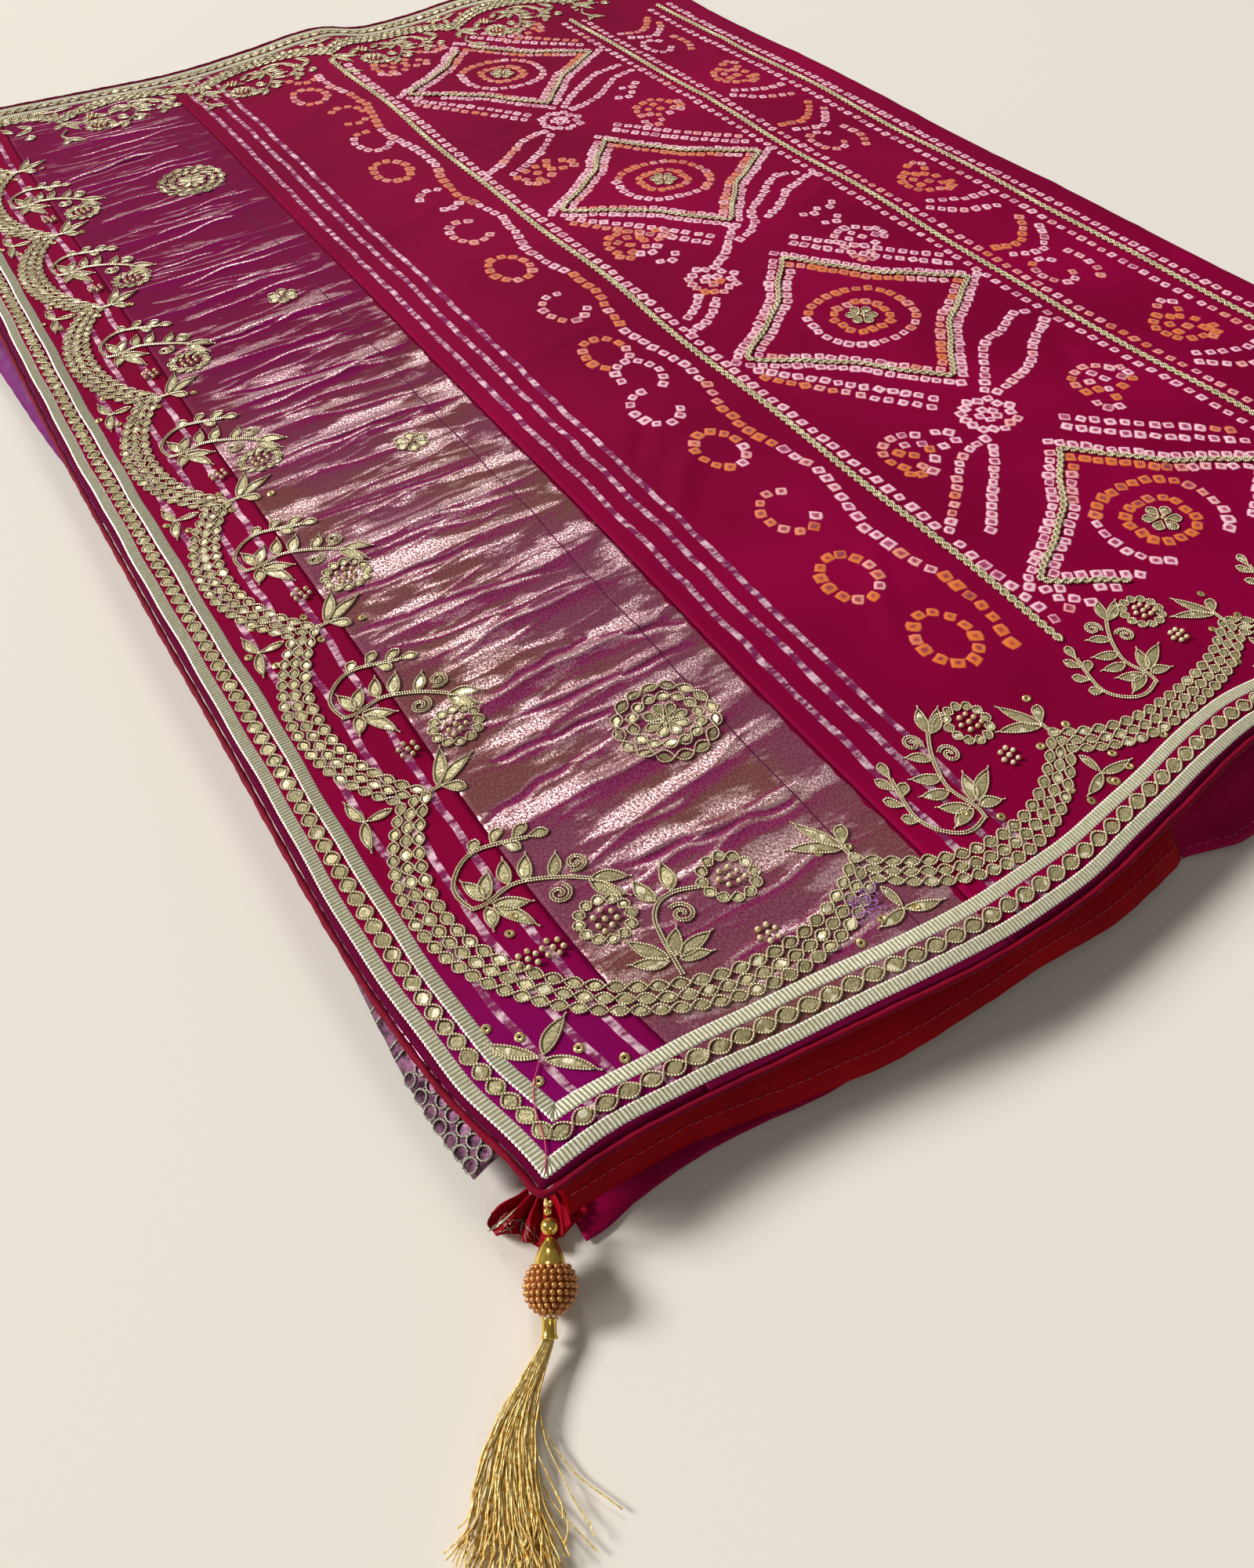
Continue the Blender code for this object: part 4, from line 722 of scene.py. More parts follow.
# The three woven lengths of the upper layer: start, end, grid steps in mm, and rows under
# which the thin wall has one row
seam = 0.00003
foldEnd = foldStart + math.radians(saree["foldTurn"]) * saree["foldRadius"]
sheets = {
    "wall": 0.0009, "slopeStep": 0.8, "crestStep": 1.8,
    "rows": [
        ("palluEndCloth", "pallu_end_cloth", -hem, saree["stripEnd"] - seam, (3.0, 3.2), 4, stripGeorgette),
        ("zariTissuePanel", "zari_tissue_panel", saree["stripEnd"] + seam, saree["tissueEnd"] - seam,
         (2.4, 1.15), 8, tissue),
        ("bandhaniField", "bandhani_field", saree["tissueEnd"] + seam, foldEnd, (3.8, 3.8), 3,
         fieldGeorgette)],
}


def gridLines(start, end, step):
    return np.linspace(start, end, max(round((end - start) / (step * mm)), 1) + 1)


def makeTopSheets():
    for name, node, start, end, grid, skip, material in sheets["rows"]:
        across = gridLines(-hem, width + hem, grid[1])
        u, v = np.meshgrid(gridLines(start, end, grid[0]), across, indexing="ij")
        top = onCloth(u, v)
        extra = None
        if material == tissue:
            # the tissue's slope and crest, which its material uses to paint glints and shade
            near, wide = sheets["slopeStep"] * mm, sheets["crestStep"] * mm
            rise = tissueWrinkles(u, v + near) - tissueWrinkles(u, v - near)
            beside = (tissueWrinkles(u, v + wide) + tissueWrinkles(u, v - wide)) / 2
            extra = {"slope": rise / (2 * near), "crest": (tissueWrinkles(u, v) - beside) / mm}
        made = gridShell(name, top, np.stack([u, v], axis=-1), sheets["wall"], material, skip, extra)
        finishPiece(made, node)


makeTopSheets()
print("upper layer made")


# The gota border runs along the near selvedge, round the pallu end and along the far selvedge.
# s is the distance along it, from the near side's end by the fold. Sizes are in mm.
border = {"ribbonWidth": 5.9, "starts": (0.0, 15.7), "rib": 0.95, "picot": 0.55, "low": 0.12,
          "toothOut": 0.22, "toothIn": 0.18, "ribHeight": (0.34, 0.46),
          "chainMiddle": 10.8, "chainAmp": 3.5, "chainPitches": (10.2, 8.6, 9.4)}
borderLength = 2 * legEnd + width


def borderPoint(s, inward):
    # flat place at a distance along the border and a distance in from its outer edge
    s, c = np.broadcast_arrays(np.asarray(s, float), np.asarray(inward, float))
    onNear, onFar = s < legEnd, s > legEnd + width
    across = s - legEnd
    v = np.where(across > width / 2, width - np.maximum(width - across, c), np.maximum(across, c))
    u = np.maximum(np.where(onNear, legEnd - s, across - width), c)
    return np.where(onNear | onFar, u, c), np.where(onNear, c, np.where(onFar, width - c, v))


def makeRibbon(name, node, start):
    # ribbed foil ribbon with a picot of loops along both edges
    rings = round(borderLength / (border["rib"] * mm))
    s = np.linspace(0, borderLength, rings + 1)
    crest = (np.arange(rings + 1) % 2 == 0).astype(float)
    tooth = border["toothOut"] * crest - border["toothIn"] * (1 - crest)
    start = start + 0.28 * np.sin(s / 0.0213 + start) + 0.20 * np.sin(s / 0.0087 + 2 * start)
    wide, edge, low = border["ribbonWidth"], border["picot"], border["low"]
    level = border["ribHeight"][0] + border["ribHeight"][1] * crest
    rows = [(start - low - tooth, low), (start + edge, level), (start + wide - edge, level),
            (start + wide + low + tooth, low)]
    points = np.stack([onCloth(*borderPoint(s, inward * mm), lift * mm) for inward, lift in rows], axis=1)
    made = newMesh(name, points, loftFaces(rings + 1, 4), gotaRibbon, smooth=False,
                   values={"rib": np.repeat(crest, 4)})
    made.data.materials.append(picotThread)
    made.data.polygons.foreach_set("material_index", [1, 0, 1, 1] * rings + [1, 1])   # foil between picots
    finishPiece(made, node)


def distances(line):
    # how far along a flat line each of its points is
    return np.concatenate([[0], np.cumsum(np.hypot(np.diff(line[:, 0]), np.diff(line[:, 1])))])


def wavyPair(line, pitch, amp, closed=False, samples=6, lift=0.62):
    # two cords that cross between every two units of a row, and the middle of each unit
    line = np.asarray(line, float)
    if line.shape[1] == 2:
        line = np.column_stack([line, np.ones(len(line))])
    if closed:
        line = np.vstack([line, line[:1]])
    s = distances(line)
    units = max(round(s[-1] / (pitch * mm)), 2)
    if closed and units % 2:
        units += 1
    t = np.linspace(0, s[-1], units * samples + 1)
    u, v, slim = (np.interp(t, s, line[:, k]) for k in range(3))
    du, dv = np.gradient(u), np.gradient(v)
    if closed:
        du[0] = du[-1] = (u[1] - u[-2]) / 2
        dv[0] = dv[-1] = (v[1] - v[-2]) / 2
    size = np.maximum(np.hypot(du, dv), 1e-9)
    du, dv = du / size, dv / size
    phase = np.pi * np.arange(len(t)) / samples
    wave = np.sign(np.sin(phase)) * np.abs(np.sin(phase)) ** 0.8 * amp * mm * slim
    pair = [onCloth(u - sign * wave * dv, v + sign * wave * du, (lift + 0.22 * sign * np.cos(phase)) * mm)
            for sign in (1, -1)]
    middle = (np.arange(units) + 0.5) * samples
    return pair, np.stack([np.interp(middle, np.arange(len(t)), a) for a in (u, v, du, dv, slim)], axis=1)


def ringShape(name, x, y, profile, **how):
    # a small shape of rings, each the outline drawn in to a reach and set at a height, in mm
    rings = [np.column_stack([x * reach, y * reach, np.full(len(x), height)]) for reach, height in profile]
    return newMesh(name, np.array(rings) * mm, loftFaces(len(rings), len(x), **how), smooth=False)


def makePlateShape():
    # small domed plate of folded gota, 1 mm long and wide
    x, y = circle(8)
    size = 1 / (np.abs(x) ** 1.4 + np.abs(y) ** 1.4) ** (1 / 1.4)
    return ringShape("plateShape", size * x, size * y, ((0.5, 0.0), (0.40, 1.0)))


plateShape = makePlateShape()


def scatterPlates(name, units, long, wide, high):
    # plates in the middle of each unit, a little uneven in size and turn
    rng = np.random.default_rng(len(units))
    u, v, du, dv, slim = units.T
    turn = rng.uniform(-0.16, 0.16, len(u))
    du, dv = du * np.cos(turn) - dv * np.sin(turn), du * np.sin(turn) + dv * np.cos(turn)
    here, up, ahead = clothFrame(u, v, du, dv, 0.15 * mm)
    up = up + rng.uniform(-0.10, 0.10, up.shape)
    vary = rng.uniform(0.9, 1.08, len(u))
    size = np.stack([long * vary, wide * vary * slim, np.full(len(u), high)], axis=1)
    return scatter(name, plateShape, here, up, ahead, size, gotaPlate)


def woven(name, nodes, rows, radius):
    # a piece of crossing cords with plates between them, from (pairs, units, plate size) rows
    parts = [cords(name + "Cords", [line for row in rows for line in row[0]], radius, 4, zariCord)]
    for k, (pairs, units, size) in enumerate(rows):
        parts.append(scatterPlates(f"{name}Plates{k}", units, *size))
    finishPiece(joined(name, parts), *nodes)


def makeChain():
    # lozenges of gota between two crossing cords, closer together on the pallu end
    ends = (0, legEnd, legEnd + width, borderLength)
    rows = []
    for start, end, pitch in zip(ends, ends[1:], border["chainPitches"]):
        line = np.stack(borderPoint(np.linspace(start, end, 400), border["chainMiddle"] * mm), axis=1)
        pair, units = wavyPair(line, pitch, border["chainAmp"], samples=8, lift=0.7)
        rows.append((pair, units, (pitch * 0.9, 6.6, 0.55)))
    woven("gotaChain", ["gota_chain"], rows, 0.00056)


# The scallop band: low and peak of its middle line, corner turns, where its peaks fall, and the
# rows of gota across it in mm
scallops = {
    "low": 0.0315, "peak": 0.0550, "nearTurn": 0.125, "farTurn": 0.080, "pastLast": 0.136,
    "pallu": [0.190, 0.321, 0.452, 0.583, 0.714, 0.845, 0.975],
    "near": [0.190, 0.321, 0.457, 0.593, 0.729], "far": [0.116, 0.242, 0.378, 0.514, 0.650],
    "rows": (-5.9, 0.0, 5.9), "pitch": 7.4, "amp": 2.75, "plate": (6.7, 4.9, 0.5),
}


def scallopDepth(place, firstLow, peaks, lastLow=None):
    # how far in the band's middle line is, from its low at a corner turn over each peak
    marks = np.array([firstLow] + peaks + [lastLow or peaks[-1] + scallops["pastLast"]])
    k = np.clip(np.searchsorted(marks, place) - 1, 0, len(marks) - 2)
    t = (place - marks[k]) / (marks[k + 1] - marks[k])
    share = np.where(k == 0, t, np.abs(2 * t - 1))
    if lastLow:
        share = np.where(k == len(marks) - 2, 1 - t, share)
    return scallops["low"] + (scallops["peak"] - scallops["low"]) * np.clip(share, 0, 1) ** 2.2


def scallopLine(offset):
    # flat line of one row of the band, with how much each unit is slimmed where it runs aslant
    low, near, far = (scallops[key] for key in ("low", "nearTurn", "farTurn"))

    def corner(turn, v, start, end, count):
        angle = np.linspace(start, end, count)[1:-1]
        reach = turn - low - offset
        return turn + reach * np.cos(angle), v + reach * np.sin(angle)
    out, across, back = (np.linspace(*ends) for ends in
                         ((legEnd, near, 500), (near, width - far, 900), (far, legEnd, 500)))
    rows = [(out, scallopDepth(out, near, scallops["near"]) + offset),
            corner(near, near, -np.pi / 2, -np.pi, 60),
            (scallopDepth(across, near, scallops["pallu"], width - far) + offset, across),
            corner(far, width - far, np.pi, np.pi / 2, 40),
            (back, width - scallopDepth(back, far, scallops["far"]) - offset)]
    line = np.concatenate([np.stack(row, axis=1) for row in rows])
    du, dv = np.gradient(line[:, 0]), np.gradient(line[:, 1])
    straight = np.maximum(np.abs(du), np.abs(dv)) / np.hypot(du, dv)
    onArc = np.concatenate([np.full(len(row[0]), k % 2) for k, row in enumerate(rows)])
    return np.column_stack([line, np.where(onArc == 1, 1.0, straight)])


def makeScallops():
    rows = []
    for k, offset in enumerate(scallops["rows"]):
        pair, units = wavyPair(scallopLine(offset * mm), scallops["pitch"] + 0.25 * k, scallops["amp"],
                               samples=5, lift=0.72 - 0.1 * (k % 2))
        rows.append((pair, units, scallops["plate"]))
    woven("gotaScallopBand", ["gota_scallop_band"], rows, 0.00052)


makeRibbon("gotaRibbonOuter", "gota_ribbon_outer", border["starts"][0])
makeRibbon("gotaRibbonInner", "gota_ribbon_inner", border["starts"][1])
makeChain()
makeScallops()
print("border made")


# Sewn motifs, in mm about their own frame: leaves and blunt drops (root, tip, half width, bend),
# a fan of leaves round its middle, stems (line, gap), spirals (middle, radius, start, turns, way),
# rosettes, groups of pearls, rings (radius, pitch, amp, samples) and a flower of drops
motifs = {
    "spray": {
        "middle": (2, 54),
        "fan": [((-14, 51), 2.9, -0.8), ((-13, 62), 3.0, 0.8), ((11, 69), 3.3, -0.6), ((23, 65), 3.0, 0.6),
            ((15, 50), 2.8, 0.7)],
        "leaves": [((-2, 66), (-15, 70), 2.8, 0.8), ((1, 73), (-12, 79), 2.9, 0.8),
            ((5, 82), (-5, 89), 2.6, -0.6), ((15, 94), (22, 107), 2.9, 0.8),
            ((16, 93), (30, 102), 2.9, -0.8)],
        "drops": [((-25.5, 61), (-32, 66), 2.5, 0.3), ((-25.5, 70), (-32, 77), 2.5, 0.3),
            ((-22.5, 78), (-27, 87), 2.5, 0.3), ((-20.5, 84), (-18, 93), 2.5, 0.3),
            ((-23.5, 74), (-16, 79), 2.5, 0.3)],
        "stems": [([(1, 47), (2, 54), (-1, 66), (2, 76), (8, 86), (15, 94)], 0.62),
            ([(20, 97), (26, 99), (31, 98)], 0.62),
            ([(1, 48), (-8, 46), (-16, 48), (-24, 56), (-26, 66), (-20, 84)], 0.62)],
        "spirals": [((3.5, 93.5), 5.6, -0.9, 1.5, 1), ((14.5, 80), 5.8, 2.4, 1.5, -1)],
        "rosettes": [((36, 88), 13.0)], "pearls": [(37, 64)],
    },
    "corner": {
        "middle": (99, 53),
        "fan": [((108, 66), 2.9, 0.6), ((118, 58), 2.9, 0.6), ((113, 50), 2.6, 0.6), ((84, 60), 2.9, 0.6),
            ((89, 70), 3.1, 0.6)],
        "leaves": [((109, 82), (107, 95), 3.2, 0.7), ((117, 83), (121, 97), 3.2, -0.7),
            ((31, 42), (20, 58), 2.9, 0.8), ((32, 40), (44, 25), 2.9, 0.8), ((33, 42), (50, 53), 2.9, 0.8)],
        "stems": [([(97.5, 46), (99, 54), (101, 65), (104, 75), (110, 81), (118, 82), (127, 79)], 0.62),
            ([(31, 42), (24, 47), (19, 55)], 0.5)],
        "spirals": [((114, 71), 6.2, 2.0, 1.5, -1)], "rosettes": [((140, 77), 13.6)],
        "pearls": [(136, 46), (53, 84)],
    },
    "fleur": {"leaves": [((0, 67), (-10, 86), 2.9, 0.8), ((-1, 66), (-21, 76), 2.8, -0.8),
        ((0, 44), (0.5, 32), 2.0, 0.4), ((0.5, 31), (17, 27), 2.3, -0.7), ((0.5, 31), (-14, 28), 2.3, 0.7)],
        "drops": [((0, 67), (7.5, 76), 2.9, 0.5)], "stems": [([(0, 58), (0, 67)], 0.6)]},
    # closes the gaps of the far border, which is worked more densely
    "fill": {
        "leaves": [((24, 61), (38, 70), 2.7, 0.7), ((24, 61), (33, 50), 2.7, -0.6),
            ((-25, 60), (-39, 68), 2.7, -0.7), ((-25, 60), (-15, 72), 2.7, 0.6),
            ((40, 62), (47, 50), 2.7, 0.5), ((-41, 60), (-50, 49), 2.7, -0.5), ((2, 102), (9, 112), 2.6, 0.6),
            ((2, 102), (-8, 110), 2.6, -0.6)],
        "stems": [([(0, 82), (6, 92), (2, 102)], 0.62)],
        "spirals": [((29, 80), 5.2, 0.4, 1.4, 1), ((-30, 79), 5.2, 2.4, 1.4, -1)],
    },
    "medallion": {"rings": [(23.6, 9.2, 3.0, 5), (16.4, 8.0, 2.9, 5), (2.2, 3.4, 0.7, 3)],
        "flower": (11.5, 8, 2.6, 0.0)},
    "flower": {"flower": (10.5, 6, 3.2, 0.3), "middlePearls": [(0, 0)]},
    "diamondFlower": {"flower": (11.5, 6, 3.3, 0.5), "middlePearls": [(0, 0), (2.4, 0.6), (-1.9, 1.6),
        (0.2, -2.4)]},
}
lastPalluSpray = 0.121
rosettePearls = [(0.3, -0.2), (4.4, 0.6), (2.3, 4.0), (-1.9, 3.9), (-4.5, 0.4), (-2.6, -3.8), (2.0, -4.2),
                 (5.6, -3.4)]
loosePearls = [(0.2, 0.1), (4.0, 0.9), (1.9, 3.8), (-2.2, 3.4), (-4.0, -0.4), (-1.6, -3.7), (2.6, -3.4)]


def plates(name, outlines):
    # flat plates of any outline, domed a little and lying on the cloth
    flat, lifts, faces = [], [], []
    for outline in outlines:
        centre = outline.mean(axis=0)
        faces += loftFaces(2, len(outline), first=len(lifts))
        flat += [outline, centre + (outline - centre) * 0.72]
        lifts += [0.12] * len(outline) + [0.50] * len(outline)
    flat = np.concatenate(flat)
    return newMesh(name, onCloth(*flat.T, np.array(lifts) * mm), faces, gotaPlate, smooth=False)


def counterClockwise(outline):
    x, y = outline.T
    area = np.sum(x * np.roll(y, -1) - y * np.roll(x, -1))
    return outline if area > 0 else outline[::-1]


class Trim:
    # collects the cords, plates and pearls of one sewn motif, all in mm about its frame
    def __init__(self, place, *names):
        self.place = place
        self.lines, self.outlines, self.pearls, self.rows = [], [], [], []
        draw = {"leaves": self.leaf, "drops": partial(self.leaf, blunt=True), "stems": self.stem,
                "spirals": self.spiral, "rosettes": self.rosette, "rings": partial(self.ring, (0, 0))}
        for look in (motifs[name] for name in names):
            middle = np.array(look.get("middle", (0, 0)))
            for tip, half, bend in look.get("fan", ()):
                self.leaf(middle + 0.14 * (np.array(tip) - middle), tip, half, bend)
            for kind, add in draw.items():
                for row in look.get(kind, ()):
                    add(*row)
            for centre in look.get("pearls", ()):
                self.pearlGroup(centre, loosePearls)
            if "flower" in look:
                self.flower(*look["flower"])
            self.pearlGroup((0, 0), look.get("middlePearls", ()))

    def flat(self, points):
        return np.stack(self.place(*np.asarray(points, float).T), axis=-1)

    def cord(self, points, lift=0.6):
        self.lines.append(onCloth(*self.flat(points).T, lift * mm))

    def leaf(self, root, tip, half, bend, blunt=False):
        # pointed leaf, or a drop if blunt
        root, tip = np.asarray(root, float), np.asarray(tip, float)
        way = unit(tip - root)
        side = np.array([-way[1], way[0]])
        t = np.linspace(0, 1, 8)
        wide = half * (np.sin(np.pi * t**1.6) ** 0.75 if blunt else np.sin(np.pi * t**0.85) ** 0.85)
        spine = root + np.outer(t, tip - root) + np.outer(np.sin(np.pi * t) * bend, side)
        left, right = spine + np.outer(wide, side), spine - np.outer(wide, side)
        outline = np.concatenate([left, right[-2:0:-1]])
        self.cord(np.vstack([outline, outline[:1]]), 0.62)
        centre = outline.mean(axis=0)
        self.outlines.append(counterClockwise(self.flat(centre + (outline - centre) * 0.86)))
        if not blunt:
            self.cord([tip, tip + way * 1.8])

    def stem(self, points, gap):
        line = smoothLine(points, 3)
        du, dv = np.gradient(line[:, 0]), np.gradient(line[:, 1])
        side = np.stack([-dv, du], axis=1) / np.hypot(du, dv)[:, None]
        for sign in (1, -1):
            self.cord(line + side * gap * sign)

    def spiral(self, centre, radius, start, turns, way):
        t = np.linspace(0, 1, 20)
        angle = start + way * t * turns * 2 * np.pi
        for more in (0.0, 1.25):
            size = np.maximum(radius * (1 - 0.78 * t) - more, 0.5)
            self.cord(np.stack([centre[0] + size * np.cos(angle), centre[1] + size * np.sin(angle)], 1))

    def ring(self, centre, radius, pitch, amp, samples):
        x, y = circle(48)
        pair, units = wavyPair(self.flat(np.stack([centre[0] + radius * x, centre[1] + radius * y], 1)),
                               pitch, amp, closed=True, samples=samples)
        self.lines += pair
        self.rows.append((units, pitch))

    def rosette(self, centre, radius):
        self.ring(centre, radius - 2.6, (radius - 2.6) * 2 * math.pi / 12, 2.5, 5)
        self.pearlGroup(centre, rosettePearls)

    def pearlGroup(self, centre, places):
        self.pearls += [(centre[0] + x, centre[1] + y) for x, y in places]

    def flower(self, radius, petals, half, start):
        for k in range(petals):
            turn = start + 2 * math.pi * k / petals
            way = np.array([math.cos(turn), math.sin(turn)])
            self.leaf(way * radius * 0.22, way * radius, half, 0.0, blunt=True)


def makePearlShape():
    # small round bead, 1 mm across
    rings, sides = 5, 8
    points = [[(0, 0, -0.5)]]
    for r in range(1, rings):
        x, y = circle(sides, math.pi * (r % 2) / sides)
        lean = math.pi * r / rings
        points.append(np.column_stack([x * math.sin(lean), y * math.sin(lean),
                                       np.full(sides, -math.cos(lean))]) / 2)
    points = np.concatenate(points + [[(0, 0, 0.5)]])
    faces = loftFaces(rings - 1, sides, caps=False, first=1)
    last = len(points) - 1
    for k in range(sides):
        m = (k + 1) % sides
        faces += [(0, 1 + m, 1 + k), (last - sides + k, last - sides + m, last)]
    return newMesh("pearlShape", points * mm, faces)


pearlShape = makePearlShape()


def makeTrim(name, trims, nodes, pearlSize=2.9):
    # one joined piece from the collected cords, plates and pearls
    parts = [cords(name + "Cords", [line for trim in trims for line in trim.lines], 0.00052, 4, zariCord),
             plates(name + "Plates", [outline for trim in trims for outline in trim.outlines])]
    for k, (units, pitch) in enumerate(row for trim in trims for row in trim.rows):
        parts.append(scatterPlates(f"{name}Ring{k}", units, pitch * 0.84, 4.2, 0.5))
    pearls = [trim.flat(trim.pearls) for trim in trims if trim.pearls]
    if pearls:
        flat = np.concatenate(pearls)
        count = len(flat)
        size = pearlSize * np.random.default_rng(count).uniform(0.93, 1.06, (count, 1))
        up, ahead = (np.tile(way, (count, 1)) for way in ((0.0, 0.0, 1.0), (1.0, 0.0, 0.0)))
        parts.append(scatter(name + "Pearls", pearlShape, onCloth(*flat.T, pearlSize * 0.46 * mm), up, ahead,
                             np.repeat(size, 3, axis=1), pearl, smooth=True))
    finishPiece(joined(name, parts), *nodes)


def onSide(side, middle):
    # frame of a motif: right along the border and inward from its outer edge, both in mm
    mirror = 1.0 if side == "near" else -1.0

    def place(right, inward):
        along, depth = middle + mirror * right * mm, inward * mm
        return {"near": (along, depth), "pallu": (depth, along), "far": (along, width - depth)}[side]
    return place


def onPlace(along, across):
    return lambda x, y: ((along + np.asarray(x)) * mm, (across + np.asarray(y)) * mm)


def makeSprays():
    for side in ("pallu", "near", "far"):
        peaks = scallops[side]
        middles = [(a + b) / 2 for a, b in zip(peaks, peaks[1:])]
        if side == "pallu":
            middles.append(lastPalluSpray)
        trims = [Trim(onSide(side, middle), "spray") for middle in middles]
        looks = ("fleur", "fill") if side == "far" else ("fleur",)
        trims += [Trim(onSide(side, peak), *looks) for peak in peaks]
        nodes = [f"spray_{side}_{k + 1}" for k in range(len(middles))]
        if side == "near":
            trims.append(Trim(onSide(side, 0.0), "corner"))
            nodes.append("spray_corner")
        makeTrim(side + "Sprays", trims, nodes)


# Medallions and flowers on the tissue, and diamonds and lines on the field, all in mm
discs = [("medallionNear", "medallion_near", "medallion", 168, 165),
         ("medallionFar", "medallion_far", "medallion", 172, 876),
         ("flowerNear", "flower_near", "flower", 165, 447), ("flowerFar", "flower_far", "flower", 165, 660)]
diamonds = [("1", 496, 137, 98, 80), ("2", 498, 408, 101, 92), ("3", 500, 663, 98, 92),
            ("4", 497, 934, 98, 84)]                                 # along, across and half sizes
gotaLines = [("1", 373, 97, 1046), ("2", 624, 74, 1018), ("3", 725, 74, 1008)]     # along, first, last
# pitch, amp, plate and cord radius of the two kinds of rope
ropes = {"edge": 0.108, "diamond": (5.4, 1.75, (4.2, 2.8, 0.8), 0.00082),
         "line": (5.8, 2.15, (4.7, 3.4, 0.8), 0.00086), "sway": (0.0012, 0.19)}


def diamondOutline(row, cells, grow=0.0):
    # outline of a diamond in flat metres, each side drawn in a little at its middle
    name, along, across, halfAlong, halfAcross = row
    corners = [(-1, 0), (0, 1), (1, 0), (0, -1)]
    points = []
    for k in range(4):
        a, b = corners[k], corners[(k + 1) % 4]
        for t in (step / cells for step in range(cells)):
            draw = (1.0 - 0.10 * math.sin(math.pi * t) ** 2) * (1.0 + 0.012 * math.sin(6 * math.pi * t + k))
            points.append(((along + (a[0] * (1 - t) + b[0] * t) * draw * (halfAlong + grow)) * mm,
                           (across + (a[1] * (1 - t) + b[1] * t) * draw * (halfAcross + grow)) * mm))
    return np.array(points)


def ropePiece(name, nodes, lines, pitch, amp, plate, radius):
    # ropes along flat lines, each with whether it closes on itself
    made = [wavyPair(line, pitch, amp, closed, 4, 0.85) for line, closed in lines]
    pairs = [cord for pair, units in made for cord in pair]
    woven(name, nodes, [(pairs, np.concatenate([units for pair, units in made]), plate)], radius)


def makeRopes():
    lines = []
    for row in diamonds:
        points = diamondOutline(row, 24)
        kept = (points[:, 1] >= ropes["edge"]) & (points[:, 1] <= width - ropes["edge"])
        if not kept.all():
            # the rope starts where the outline comes out from under the border
            start = next(k for k in range(len(kept)) if kept[k] and not kept[k - 1])
            points = np.roll(points, -start, axis=0)[np.roll(kept, -start)]
        lines.append((points, bool(kept.all())))
    ropePiece("diamondRopes", [f"diamond_{row[0]}_rope" for row in diamonds], lines, *ropes["diamond"])
    makeTrim("diamondFlowers", [Trim(onPlace(*row[1:3]), "diamondFlower") for row in diamonds],
             [f"diamond_{row[0]}_flower" for row in diamonds], 2.4)
    lines = []
    for name, along, first, last in gotaLines:
        v = np.linspace(first * mm, last * mm, 300)
        u = along * mm + ropes["sway"][0] * np.sin(2 * math.pi * v / ropes["sway"][1] + along)
        lines.append((np.stack([u, v], axis=1), False))
    ropePiece("gotaLines", ["gota_line_" + row[0] for row in gotaLines], lines, *ropes["line"])


makeSprays()
for name, node, look, along, across in discs:
    makeTrim(name, [Trim(onPlace(along, across), look)], [node])
makeRopes()
print("sprays, medallions and ropes made")


# Sequins sewn round the sprigs, and a worn patch of loose violet thread on the near side, in mm
sequins = {
    "size": (4.6, 4.6, 3.0), "sides": 12,
    "shape": [(0.14, 0.10), (0.30, 0.16), (0.5, 0.05), (0.5, 0.0), (0.14, 0.04)],   # reach, height
    "corner": [(23, 65), (31, 54), (45, 37), (24, 33), (55, 24), (60, 107), (54, 100)],
    "near": [(192, 66), (179, 69), (164, 25), (179, 31), (195, 29), (250, 54), (263, 44), (305, 25),
             (323, 24), (335, 25), (364, 25)],
    "byPeak": [(11, 58), (-9, 57), (15, 33), (-18, 33), (5, 80), (0, 24)],
    "threads": 22, "patch": ((170, 190), (34, 46)), "run": [(1, 1), (8, 10), (15, 24), (22, 33), (31, 41)],
}


sequinShape = ringShape("sequinShape", *circle(sequins["sides"]), sequins["shape"], flip=True, caps=False,
                        loop=True)


def makeSequins():
    flat = sequins["corner"] + sequins["near"]
    for side in ("pallu", "near", "far"):
        for peak in scallops[side][1:]:
            for right, inward in sequins["byPeak"]:
                u, v = onSide(side, peak)(right + 2 * math.sin(peak * 91 + inward),
                                          inward + 2 * math.cos(peak * 57))
                flat.append((u / mm, v / mm))
    flat = np.array(flat) * mm
    rng = np.random.default_rng(3)
    turn = rng.uniform(0, 6.28, len(flat))
    here, up, ahead = clothFrame(*flat.T, np.cos(turn), np.sin(turn), 0.0004)
    up = up + rng.uniform(-0.16, 0.16, up.shape)
    finishPiece(scatter("sequins", sequinShape, here, up, ahead, np.tile(sequins["size"], (len(flat), 1)),
                        sequinFoil))
    lines = []
    t = np.linspace(0, 1, 16)
    for k in range(sequins["threads"]):
        u0, v0 = (rng.uniform(*ends) for ends in sequins["patch"])
        a, b = rng.uniform(0, 6.28), rng.uniform(1.2, 3.6)
        u = u0 + b * np.cos(a + 5 * t) + 6 * (t - 0.5) * math.cos(a)
        v = v0 + b * np.sin(a + 5 * t) * 0.7 + 6 * (t - 0.5) * math.sin(a)
        lines.append(onCloth(u * mm, v * mm, (1.2 + 0.8 * np.sin(9 * t + a)) * mm))
    tangle = cords("tangle", lines, 0.00020, 3, violetThread)
    # the sewing thread that runs from the corner up to the sprig
    line = onCloth(*smoothLine(sequins["run"], 8).T * mm, 0.001)
    run = cords("cornerThread", [line], 0.00028, 4, pinkThread)
    finishPiece(joined("looseThread", [tangle, run]))


makeSequins()
print("sequins and loose thread made")
